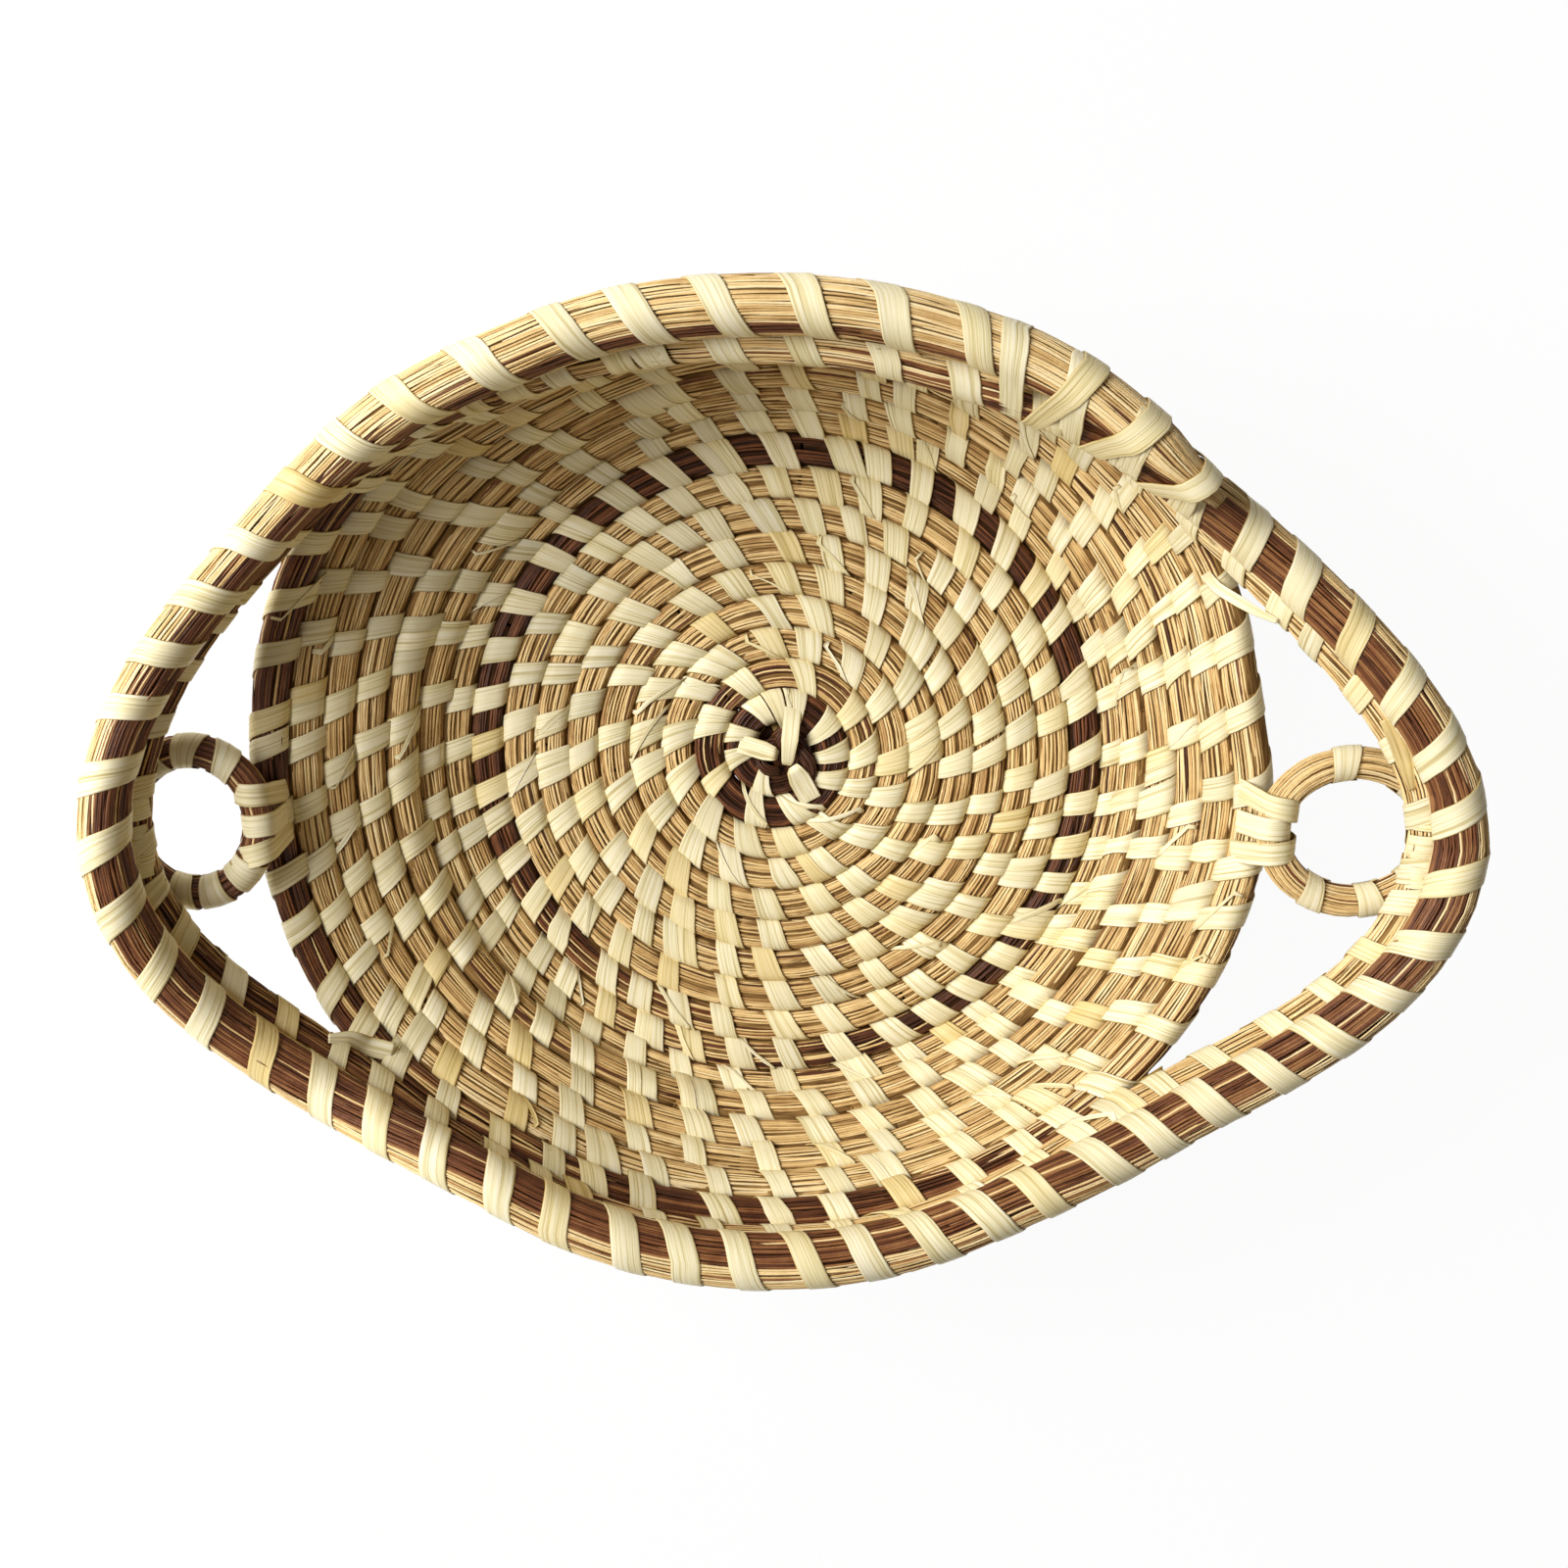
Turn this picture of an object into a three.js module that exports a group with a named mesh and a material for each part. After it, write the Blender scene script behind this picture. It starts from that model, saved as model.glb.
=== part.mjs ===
// Coiled sweetgrass basket with two ring handles.
// One long bundle of grass starts at a knot, spirals out as the flat base, turns up as the wall,
// leaves the body twice to bow out as the handles, and comes back round as a thicker rim whose end
// laps over its own start. Strips of palm leaf bind it. Millimetres and degrees, +Z up, X along the handles.
import * as THREE from 'three'

// Bundles
const rowRadius = 4.15
const rimRadius = { side: 6.25, back: 7.4, front: 7.2 }
const rimEndTaper = 1.0
const ringRadius = 4.4
const knotRadius = 1.35

// Palm leaf strips
const stripWidth = 6.4
const stripThickness = 0.5
const stripClearance = 0.35
const ringStripClearance = 0.8
const lashClearance = 0.45
const wrapPitch = 15.8
const ringWrapPitch = 13.5
const lashWraps = 2
const lashPlay = 0.6
const lashSpacing = stripWidth + lashPlay
const tieWraps = 4

// Gaps between the faces of neighbouring bundles
const rowGap = 0.55
const seamGap = 0.3
const stripEase = 0.15
const lashingGap = stripThickness + 2 * stripClearance + stripEase
const ringGap = stripThickness + stripClearance + ringStripClearance + 3 * stripEase
const rimGap = 2 * stripThickness + 2 * lashClearance + stripClearance + stripEase

// The coil is counted in turns from the centre, and winds clockwise seen from above. Its whole rows are the
// rows of the base and of the wall, then the row of the handles and the row of the rim.
const firstRowRadius = 15.2
const flatCut = 0.5
const axisOffset = { x: -1.5, y: -0.3 }
const baseRows = 8
const wallRows = 7
const bodyRow = baseRows + wallRows
const handleRow = bodyRow + 1
const rimRow = bodyRow + 2

// Turn counts at which the filling changes or the coil leaves the body
const turn = {
  start: 0.45,
  sweetgrass: 2.35,
  band: baseRows + 0.35,
  wall: baseRows + 1.35,
  bodyRimPine: bodyRow + 0.17,
  handleRow: bodyRow + 0.6,
  handleLeft: handleRow + 0.33,
  rim: handleRow + 0.7,
  rimBinding: handleRow + 0.95,
  rimFull: rimRow - 0.1,
  overlap: rimRow + 0.6,
  tie: rimRow + 0.82,
  end: rimRow + 0.92
}

// Turn counts, to the middle between two rows, over which the wall turns up, starts to differ between its
// sides and ends, and stands up further
const flatRows = baseRows + 1
const corner = { from: flatRows + 0.4, to: flatRows + 1.7 }
const flare = { from: flatRows + 1.5, to: flatRows + 2.5 }
const upright = { from: bodyRow - 3, to: bodyRow - 0.5 }

// Slope of the wall from level, in degrees, at the sides, the back and the front
const cornerSlope = 61
const flareSlope = { side: 37, back: 49, front: 45.5 }
const uprightSlope = { side: 4.5, back: 31, front: 17 }

// How much further the wall leans out at some bearings, in degrees. Between two of them it changes smoothly.
const wallLean = [
  { bearing: 9, angle: -8 },
  { bearing: 28, angle: 0 },
  { bearing: 118, angle: 0 },
  { bearing: 150, angle: 21 },
  { bearing: 180, angle: 11 },
  { bearing: 206, angle: 20 },
  { bearing: 238, angle: 0 },
  { bearing: 352, angle: 0 }
]

// Slope from the body rim to the handle row, and from the handle row to the rim: where the rim starts, at
// bearings round the basket, and where its end first lies beside its start and then on it
const handleSlope = { side: 86, back: 86, front: 60 }
const rimStartSlope = 118
const rimSlope = [
  { bearing: 12, angle: 60 },
  { bearing: 50, angle: 85 },
  { bearing: 120, angle: 87 },
  { bearing: 162, angle: 84 },
  { bearing: 186, angle: 74 },
  { bearing: 206, angle: 60 },
  { bearing: 236, angle: 93 },
  { bearing: 296, angle: 93 },
  { bearing: 318, angle: 72 },
  { bearing: 338, angle: 70 },
  { bearing: 356, angle: 67 }
]
const lapSlope = 62
const tuckSlope = 92

// Handles: bearing of each tip, angle that it spans ahead of it and behind it, and how far it bows out
const handles = {
  right: { bearing: -6, ahead: 49, behind: 53, reach: 40 },
  left: { bearing: 185.9, ahead: 44, behind: 52, reach: 31 }
}
const bowSharpness = 3.3

// Rings, lying between the body and the handle: bearing, centre line half sizes, and how far the inner side
// lies out from over the body rim. Each lies level with the stretch of body rim within its reach, in turns.
const rings = {
  right: { bearing: -6.4, halfLength: 21.2, halfWidth: 18.6, outset: 3.2 },
  left: { bearing: 185.2, halfLength: 17.6, halfWidth: 19.4, outset: 1.2 }
}
const ringReach = 0.02

// Fineness of the meshes
const stepsPerTurn = 72
const coarseStep = 3
const rowSides = 6
const rimSides = 8
const ringSides = 8
const ringSteps = 32
const handleStep = 9
const rimStep = 7.4
const knotSteps = 56

// Overhand knot: gap beside the coil's start, half the height between crossing strands, where its ends
// stop, in half turns, and the turn that brings a bight to the start of the coil
const knotGap = 0.1
const knotClearance = 0.6
const knotLift = knotRadius + knotClearance
const knotFrom = 0.12
const knotTo = 1.9
const knotTwist = 36

const degree = Math.PI / 180
const rowPitch = 2 * rowRadius + rowGap
const rowCentreHeight = rowRadius * Math.cos(Math.PI / rowSides) - flatCut

// The room inside the first row: its half width beside the coil's start, and how far its middle lies from
// the axis, away from the start and across from it, because the coil widens
const roomShift = rowPitch / 4
const roomRadius = firstRowRadius + rowPitch * (turn.start - 1) - rowRadius + roomShift
const knotSize = (roomRadius - knotRadius - knotGap) / 3

function smooth (value, from, to) {
  const share = Math.min(1, Math.max(0, (value - from) / (to - from)))
  return share * share * (3 - 2 * share)
}

function mix (from, to, share) {
  return from + (to - from) * share
}

// A value that changes round the basket from its sides to its back or front
function roundBasket (values, bearing) {
  const sine = Math.sin(bearing)
  const end = sine > 0 ? values.back : values.front
  return mix(values.side, end, sine * sine)
}

// A value that is given at some bearings in degrees, and changes smoothly from one to the next
function atBearing (places, bearing) {
  const degrees = THREE.MathUtils.euclideanModulo(bearing / degree, 360)
  const after = places.findIndex((place) => place.bearing > degrees)
  const next = places[Math.max(after, 0)]
  const last = places.at(after > 0 ? after - 1 : -1)
  const start = after === 0 ? last.bearing - 360 : last.bearing
  const end = after === -1 ? next.bearing + 360 : next.bearing
  return mix(last.angle, next.angle, smooth(degrees, start, end))
}

function bundleRadius (turns) {
  const rimHere = roundBasket(rimRadius, -2 * Math.PI * turns)
  const full = mix(rowRadius, rimHere, smooth(turns, turn.rim - 0.1, turn.rimFull))
  return full - rimEndTaper * smooth(turns, turn.overlap, turn.end)
}

// Gap between a row and the row that it lies on
function gapBelow (turns) {
  const body = mix(rowGap, lashingGap, smooth(turns, turn.bodyRimPine - 0.5, turn.bodyRimPine - 0.22))
  return mix(body, rimGap, smooth(turns, turn.rim - 0.05, turn.rim + 0.05))
}

// Direction, from level, in which a row lies from the row below it
function stackAngle (turns, bearing) {
  const middle = turns - 0.5
  const rise = roundBasket(uprightSlope, bearing) * smooth(middle, upright.from, upright.to)
  const wall = roundBasket(flareSlope, bearing) + rise - atBearing(wallLean, bearing)
  let angle = cornerSlope * smooth(middle, corner.from, corner.to)
  angle = mix(angle, wall + angle - cornerSlope, smooth(middle, flare.from, flare.to))
  const handle = roundBasket(handleSlope, bearing)
  angle = mix(angle, handle, smooth(turns, turn.handleRow - 0.1, turn.handleRow + 0.1))
  angle = mix(angle, rimStartSlope, smooth(turns, turn.rim - 0.1, turn.rim + 0.05))
  angle = mix(angle, atBearing(rimSlope, bearing), smooth(turns, turn.rim + 0.1, turn.rim + 0.22))
  const lap = mix(lapSlope, tuckSlope, smooth(turns, turn.tie, turn.end))
  return mix(angle, lap, smooth(turns, turn.overlap - 0.05, turn.overlap + 0.1)) * degree
}

// Turn count at which the body rim passes a bearing in degrees
function bodyTurnAt (bearing) {
  return bodyRow + 0.5 - THREE.MathUtils.euclideanModulo(bearing + 180, 360) / 360
}

// Share of a handle's bow at a turn count, from 0 at the body to 1 at its tip, one row over the body rim
function bowShare (handle, turns) {
  const offset = 360 * (bodyTurnAt(handle.bearing) + 1 - turns)
  const span = offset > 0 ? handle.ahead : handle.behind
  if (Math.abs(offset) >= span) return 0
  return Math.cos(Math.PI / 2 * offset / span) ** bowSharpness
}

// The coil's centre line as arrays of distance from the axis and height, one entry a step.
// Each row lies one pitch from the row below it, in the direction of the wall's slope there.
function makeCoil () {
  const radii = []
  const heights = []
  const lastStep = Math.round(turn.end * stepsPerTurn)
  for (let step = 0; step <= lastStep; step++) {
    const turns = step / stepsPerTurn
    const bearing = -2 * Math.PI * turns
    if (turns < flatRows) {
      radii.push(firstRowRadius + rowPitch * (turns - 1))
      heights.push(rowCentreHeight)
      continue
    }
    const angle = stackAngle(turns, bearing)
    const pitch = bundleRadius(turns - 1) + bundleRadius(turns) + gapBelow(turns)
    let reach = 0
    let rise = 0
    for (const handle of Object.values(handles)) {
      const share = bowShare(handle, turns)
      reach += handle.reach * share
      rise += handleRise * share
    }
    radii.push(radii[step - stepsPerTurn] + pitch * Math.cos(angle) + reach)
    heights.push(heights[step - stepsPerTurn] + pitch * Math.sin(angle) + rise)
  }
  return { radii, heights }
}

// A handle rises by what lets its ring lie between it and the body
const handleRise = 2 * (ringRadius + ringGap) - lashingGap
const coil = makeCoil()

function coilPoint (turns) {
  const step = turns * stepsPerTurn
  const low = Math.min(Math.floor(step), coil.radii.length - 2)
  const share = step - low
  const radius = mix(coil.radii[low], coil.radii[low + 1], share)
  const height = mix(coil.heights[low], coil.heights[low + 1], share)
  const bearing = -2 * Math.PI * turns
  return new THREE.Vector3(
    axisOffset.x + radius * Math.cos(bearing),
    axisOffset.y + radius * Math.sin(bearing),
    height
  )
}

// Point on the straight side of a body row's polygon
function rowPoint (turns) {
  const size = coarseStep / stepsPerTurn
  const before = Math.floor(turns / size + 1e-6) * size
  return coilPoint(before).lerp(coilPoint(before + size), (turns - before) / size)
}

// Ring of points round a centre, in the plane of two directions
function section (centre, outward, upward, radius, sides, start = 0) {
  const points = []
  for (let side = 0; side < sides; side++) {
    const angle = start + 2 * Math.PI * side / sides
    points.push(centre.clone()
      .addScaledVector(outward, radius * Math.cos(angle))
      .addScaledVector(upward, radius * Math.sin(angle)))
  }
  return points
}

// Closed solid through a row of sections with the same number of points
function loft (sections, closed = false) {
  const sides = sections[0].length
  const positions = []
  for (const points of sections) {
    for (const point of points) positions.push(point.x, point.y, point.z)
  }
  const indices = []
  const spans = closed ? sections.length : sections.length - 1
  for (let span = 0; span < spans; span++) {
    const near = span * sides
    const far = (span + 1) % sections.length * sides
    for (let side = 0; side < sides; side++) {
      const next = (side + 1) % sides
      indices.push(near + side, near + next, far + next, near + side, far + next, far + side)
    }
  }
  if (!closed) {
    const last = (sections.length - 1) * sides
    for (let side = 1; side < sides - 1; side++) {
      indices.push(0, side + 1, side, last, last + side, last + side + 1)
    }
  }
  const geometry = new THREE.BufferGeometry()
  geometry.setAttribute('position', new THREE.Float32BufferAttribute(positions, 3))
  geometry.setIndex(signedVolume(positions, indices) < 0 ? indices.reverse() : indices)
  geometry.computeVertexNormals()
  return geometry
}

function signedVolume (positions, indices) {
  const corner = (index) => new THREE.Vector3().fromArray(positions, 3 * index)
  let volume = 0
  for (let entry = 0; entry < indices.length; entry += 3) {
    const [first, second, third] = [0, 1, 2].map((offset) => corner(indices[entry + offset]))
    volume += first.dot(second.cross(third)) / 6
  }
  return volume
}

// Sections of a body row, in planes through the axis so that neighbouring rows keep an even gap.
// They are cut flat where the basket stands.
function rowSections (from, to) {
  const marks = [from]
  const size = coarseStep / stepsPerTurn
  for (let mark = Math.ceil(from / size + 0.1); mark * size < to - 0.1 * size; mark++) marks.push(mark * size)
  marks.push(to)
  return marks.map((turns) => {
    const bearing = -2 * Math.PI * turns
    const angle = turns < flatRows ? 0 : stackAngle(turns, bearing)
    const radial = new THREE.Vector3(Math.cos(bearing), Math.sin(bearing), 0)
    const along = radial.clone().multiplyScalar(Math.cos(angle))
    along.z = Math.sin(angle)
    const across = radial.clone().multiplyScalar(-Math.sin(angle))
    across.z = Math.cos(angle)
    const points = section(rowPoint(turns), along, across, bundleRadius(turns), rowSides)
    for (const point of points) point.z = Math.max(point.z, 0)
    return points
  })
}

// Evenly spaced turn counts along a stretch of the coil
function evenMarks (from, to, spacing) {
  const fine = 0.002
  const marks = [from]
  let travelled = 0
  let lastPoint = coilPoint(from)
  for (let turns = from + fine; turns < to; turns += fine) {
    const point = coilPoint(turns)
    travelled += point.distanceTo(lastPoint)
    lastPoint = point
    if (travelled >= spacing) {
      marks.push(turns)
      travelled = 0
    }
  }
  if (travelled < 0.6 * spacing && marks.length > 1) marks.pop()
  marks.push(to)
  return marks
}

// Sections square to the coil, for the handles and the rim. The two end faces lie in planes through the
// axis, as those of the body rows do, so that pieces of the coil meet face to face.
function freeTube (from, to, spacing, sides) {
  const marks = evenMarks(from, to, spacing)
  const sections = marks.map((turns, index) => {
    const isEnd = index === 0 || index === marks.length - 1
    const bearing = -2 * Math.PI * turns
    let outward = new THREE.Vector3(Math.cos(bearing), Math.sin(bearing), 0)
    let upward = new THREE.Vector3(0, 0, 1)
    if (!isEnd) {
      const tangent = coilTangent(turns)
      outward = tangent.clone().cross(new THREE.Vector3(0, 0, -1)).normalize()
      if (outward.dot(coilPoint(turns)) < 0) outward.negate()
      upward = tangent.clone().cross(outward).normalize()
      if (upward.z < 0) upward.negate()
    }
    return section(coilPoint(turns), outward, upward, bundleRadius(turns), sides, Math.PI / sides)
  })
  return { marks, sections }
}

function coilTangent (turns) {
  const reach = 0.003
  return coilPoint(Math.min(turns + reach, turn.end)).sub(coilPoint(turns - reach)).normalize()
}

// Where a ring lies: its centre, and the directions outward, along the body rim and up from the two.
// Its inner side is over the body rim near the handle's tip and its outer side under the handle row.
function ringSeat (name) {
  const turns = bodyTurnAt(rings[name].bearing)
  const along = rowPoint(turns + ringReach).sub(rowPoint(turns - ringReach)).normalize()
  const outward = new THREE.Vector3(along.y, -along.x, 0).normalize()
  const rim = rowPoint(turns)
  if (outward.dot(rim) < 0) outward.negate()
  const centre = rim.clone().addScaledVector(outward, rings[name].halfLength + rings[name].outset)
  centre.z += rowRadius + ringGap + ringRadius
  const upward = outward.clone().cross(along)
  if (upward.z < 0) upward.negate()
  return { turns, centre, outward, along, upward }
}

// Point on a ring's centre line. Angle 0 is its outer side, and half a turn its inner side.
function ringPoint (name, seat, angle) {
  return seat.centre.clone()
    .addScaledVector(seat.outward, rings[name].halfLength * Math.cos(angle))
    .addScaledVector(seat.along, rings[name].halfWidth * Math.sin(angle))
}

function ringSections (name) {
  const ring = rings[name]
  const seat = ringSeat(name)
  const sections = []
  for (let step = 0; step < ringSteps; step++) {
    const angle = 2 * Math.PI * step / ringSteps
    const normal = seat.outward.clone().multiplyScalar(ring.halfWidth * Math.cos(angle))
      .addScaledVector(seat.along, ring.halfLength * Math.sin(angle)).normalize()
    const start = Math.PI / ringSides
    sections.push(section(ringPoint(name, seat, angle), normal, seat.upward, ringRadius, ringSides, start))
  }
  return sections
}

// Palm leaf wound as a helix on a lofted bundle. It follows the bundle's own facets at a small clearance.
// From and to are places in the row of sections, which may lie between two of them.
function windStrip (sections, from, to, spacing, clearance, closed = false) {
  const sides = sections[0].length
  const centres = sections.map((points) => average(points))
  const lengths = [0]
  const spans = closed ? sections.length : sections.length - 1
  for (let span = 0; span < spans; span++) {
    lengths.push(lengths[span] + centres[span].distanceTo(centres[(span + 1) % sections.length]))
  }
  const total = lengths[spans]
  const travelAt = (place) => {
    const span = Math.min(Math.floor(place), spans - 1)
    return mix(lengths[span], lengths[span + 1], place - span)
  }
  const pointAt = (travel, side, lift) => {
    const place = closed ? THREE.MathUtils.euclideanModulo(travel, total) : travel
    let span = 0
    while (span < spans - 1 && lengths[span + 1] < place) span++
    const share = (place - lengths[span]) / (lengths[span + 1] - lengths[span])
    const next = (span + 1) % sections.length
    const point = sections[span][side].clone().lerp(sections[next][side], share)
    const centre = centres[span].clone().lerp(centres[next], share)
    return point.add(point.clone().sub(centre).normalize().multiplyScalar(lift))
  }
  const first = travelAt(from) + stripWidth / 2
  const last = travelAt(to) - stripWidth / 2
  const stations = Math.round((last - first) / spacing * sides)
  const strip = []
  for (let station = 0; station <= stations; station++) {
    const middle = mix(first, last, station / stations)
    const edges = [middle - stripWidth / 2, middle + stripWidth / 2]
    const side = station % sides
    const inner = edges.map((edge) => pointAt(edge, side, clearance))
    const outer = edges.map((edge) => pointAt(edge, side, clearance + stripThickness))
    strip.push([inner[0], inner[1], outer[1], outer[0]])
  }
  return loft(strip)
}

// Place in a tube's row of sections of a turn count
function placeOf (tube, turns) {
  let index = 0
  while (index < tube.marks.length - 2 && tube.marks[index + 1] < turns) index++
  return index + (turns - tube.marks[index]) / (tube.marks[index + 1] - tube.marks[index])
}

function average (points) {
  const sum = new THREE.Vector3()
  for (const point of points) sum.add(point)
  return sum.divideScalar(points.length)
}

// Palm leaf wound round two bundles that lie side by side. Lower and upper give the centres of the two
// bundles at a distance along them, and each edge of the strip is set out on both of their circles.
function lashPair ({ lower, upper, lowerRadius, upperRadius, from, to, wraps, clearance }) {
  const perHalf = 6
  const roundness = Math.cos(Math.PI / (2 * (perHalf - 1)))
  const steps = wraps * 2 * perHalf
  const strip = []
  for (let step = 0; step <= steps; step++) {
    const middle = mix(from, to, step / steps)
    const isUpper = Math.floor(step / perHalf) % 2 === 0
    const angle = (isUpper ? 0 : Math.PI) + Math.PI * (step % perHalf) / (perHalf - 1)
    const radius = ((isUpper ? upperRadius : lowerRadius) + clearance) / roundness
    const corner = (edge, lift) => {
      const travel = middle + edge
      const bottom = lower(travel)
      const top = upper(travel)
      const ahead = lower(travel + 1).add(upper(travel + 1))
      const tangent = ahead.sub(lower(travel - 1)).sub(upper(travel - 1)).normalize()
      const upward = top.clone().sub(bottom)
      upward.addScaledVector(tangent, -upward.dot(tangent)).normalize()
      const outward = upward.clone().cross(tangent)
      return (isUpper ? top : bottom)
        .addScaledVector(outward, (radius + lift) * Math.cos(angle))
        .addScaledVector(upward, (radius + lift) * Math.sin(angle))
    }
    const half = stripWidth / 2
    strip.push([corner(-half, 0), corner(half, 0), corner(half, stripThickness), corner(-half, stripThickness)])
  }
  return loft(strip)
}

// The start of the basket: a bundle of pine needles tied in an overhand knot, left open at both ends
function knotSections () {
  const startBearing = -2 * Math.PI * turn.start
  const centreHeight = knotLift + knotRadius + seamGap
  const away = new THREE.Vector3(-roomShift, 0, 0).applyAxisAngle(new THREE.Vector3(0, 0, 1), startBearing)
  const across = new THREE.Vector3(0, roomShift, 0).applyAxisAngle(new THREE.Vector3(0, 0, 1), startBearing)
  const middle = new THREE.Vector3(axisOffset.x, axisOffset.y, centreHeight).add(away).add(across)
  const place = (angle) => new THREE.Vector3(
    knotSize * (Math.sin(angle) + 2 * Math.sin(2 * angle)),
    knotSize * (Math.cos(angle) - 2 * Math.cos(2 * angle)),
    -knotLift * Math.sin(3 * angle)
  ).applyAxisAngle(new THREE.Vector3(0, 0, 1), knotTwist * degree).add(middle)
  const sections = []
  for (let step = 0; step <= knotSteps; step++) {
    const angle = mix(knotFrom, knotTo, step / knotSteps) * Math.PI
    const tangent = place(angle + 0.01).sub(place(angle - 0.01)).normalize()
    const sideways = tangent.clone().cross(new THREE.Vector3(0, 0, 1)).normalize()
    const upward = sideways.clone().cross(tangent).normalize()
    sections.push(section(place(angle), sideways, upward, knotRadius, rowSides))
  }
  return sections
}

// Least distance between the skins of a tube's own passes, measured on the points of its sections
function leastSelfGap (sections, apart) {
  const farApart = 3 * rimRadius.back
  let least = Infinity
  for (let first = 0; first < sections.length; first++) {
    for (let second = first + apart; second < sections.length; second++) {
      if (average(sections[first]).distanceTo(average(sections[second])) > farApart) continue
      for (const point of sections[first]) {
        for (const other of sections[second]) least = Math.min(least, point.distanceTo(other))
      }
    }
  }
  return least
}

// Colours and finishes
const finishes = {
  sweetgrass: { color: 0xc9a468, roughness: 0.62, metalness: 0 },
  brownGrass: { color: 0x8a6238, roughness: 0.62, metalness: 0 },
  pineNeedle: { color: 0x4a2c1c, roughness: 0.5, metalness: 0 },
  palmetto: { color: 0xe3d9a6, roughness: 0.45, metalness: 0 }
}

const basket = new THREE.Group()
basket.name = 'basket'

function addPiece (name, geometry, finish) {
  const mesh = new THREE.Mesh(geometry, new THREE.MeshStandardMaterial(finishes[finish]))
  mesh.name = name
  basket.add(mesh)
}

// Turn count that leaves a seam's gap after the end of the piece before it
function afterSeam (turns) {
  const length = coilPoint(turns + 0.001).distanceTo(coilPoint(turns)) / 0.001
  return turns + seamGap / length
}

// Centre knot
const knot = knotSections()
addPiece('starting_knot', loft(knot), 'pineNeedle')
console.log('starting_knot', 'least gap to itself', leastSelfGap(knot, Math.round(knotSteps / 6)).toFixed(2), 'mm')

// Share of a turn after which a bundle can lie beside itself
const passShare = 0.7

// Base and wall rows
const rowPieces = [
  { name: 'pine_start_coil', from: turn.start, to: turn.sweetgrass, finish: 'pineNeedle' },
  { name: 'base_coil', from: turn.sweetgrass, to: turn.band, finish: 'sweetgrass' },
  { name: 'base_pine_band', from: turn.band, to: turn.wall, finish: 'pineNeedle' },
  { name: 'wall_coil', from: turn.wall, to: turn.bodyRimPine, finish: 'sweetgrass' },
  { name: 'body_rim_pine', from: turn.bodyRimPine, to: turn.handleRow, finish: 'pineNeedle' }
]
for (const piece of rowPieces) {
  const start = piece.name === 'pine_start_coil' ? piece.from : afterSeam(piece.from)
  const sections = rowSections(start, piece.to)
  const apart = Math.round(passShare * stepsPerTurn / coarseStep)
  if (sections.length > apart) {
    console.log(piece.name, 'least gap to itself', leastSelfGap(sections, apart).toFixed(2), 'mm')
  }
  addPiece(piece.name, loft(sections), piece.finish)
}

// Handle rows
const handleTubes = {
  right: freeTube(afterSeam(turn.handleRow), turn.handleLeft, handleStep, rowSides),
  left: freeTube(afterSeam(turn.handleLeft), turn.rim, handleStep, rowSides)
}
addPiece('handle_row_right', loft(handleTubes.right.sections), 'sweetgrass')
addPiece('handle_row_left', loft(handleTubes.left.sections), 'brownGrass')

// Rim, with its end lapped over its start, and the strips wound on it
const rim = freeTube(afterSeam(turn.rim), turn.end, rimStep, rimSides)
const rimPass = Math.round(passShare * rim.sections.length / (turn.end - turn.rim))
console.log('rim_coil', 'least gap to itself', leastSelfGap(rim.sections, rimPass).toFixed(2), 'mm')
addPiece('rim_coil', loft(rim.sections), 'sweetgrass')
const bindingInset = 0.01
addPiece('rim_start_binding', windStrip(rim.sections, placeOf(rim, turn.rim + bindingInset),
  placeOf(rim, turn.tie - 1 - bindingInset), wrapPitch, stripClearance), 'palmetto')
addPiece('rim_binding', windStrip(rim.sections, placeOf(rim, turn.rimBinding),
  placeOf(rim, turn.tie - bindingInset), wrapPitch, stripClearance), 'palmetto')

// Crossed ties round the rim's end and the start under it
const tieInset = 0.004
const tieMiddle = (turn.tie + turn.end) / 2 - tieInset
const tiePlaces = { upper: tieMiddle, lower: tieMiddle - 1 }
const tieLength = (turn.end - turn.tie) * 2 * Math.PI * coilPoint(tieMiddle).setZ(0).length()
const alongCoil = (turns, pointAt) => {
  const perTurn = pointAt(turns + 0.002).distanceTo(pointAt(turns - 0.002)) / 0.004
  return (travel) => pointAt(turns + travel / perTurn)
}
for (const [index, name] of ['rim_splice_tie', 'rim_splice_cross_tie'].entries()) {
  const reach = tieLength / 2 - stripWidth
  addPiece(name, lashPair({
    lower: alongCoil(tiePlaces.lower, coilPoint),
    upper: alongCoil(tiePlaces.upper, coilPoint),
    lowerRadius: bundleRadius(tiePlaces.lower) + index * (stripThickness + lashClearance),
    upperRadius: bundleRadius(tiePlaces.upper) + index * (stripThickness + lashClearance),
    from: index === 0 ? -reach : reach,
    to: index === 0 ? reach : -reach,
    wraps: tieWraps,
    clearance: lashClearance
  }), 'palmetto')
}

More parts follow.
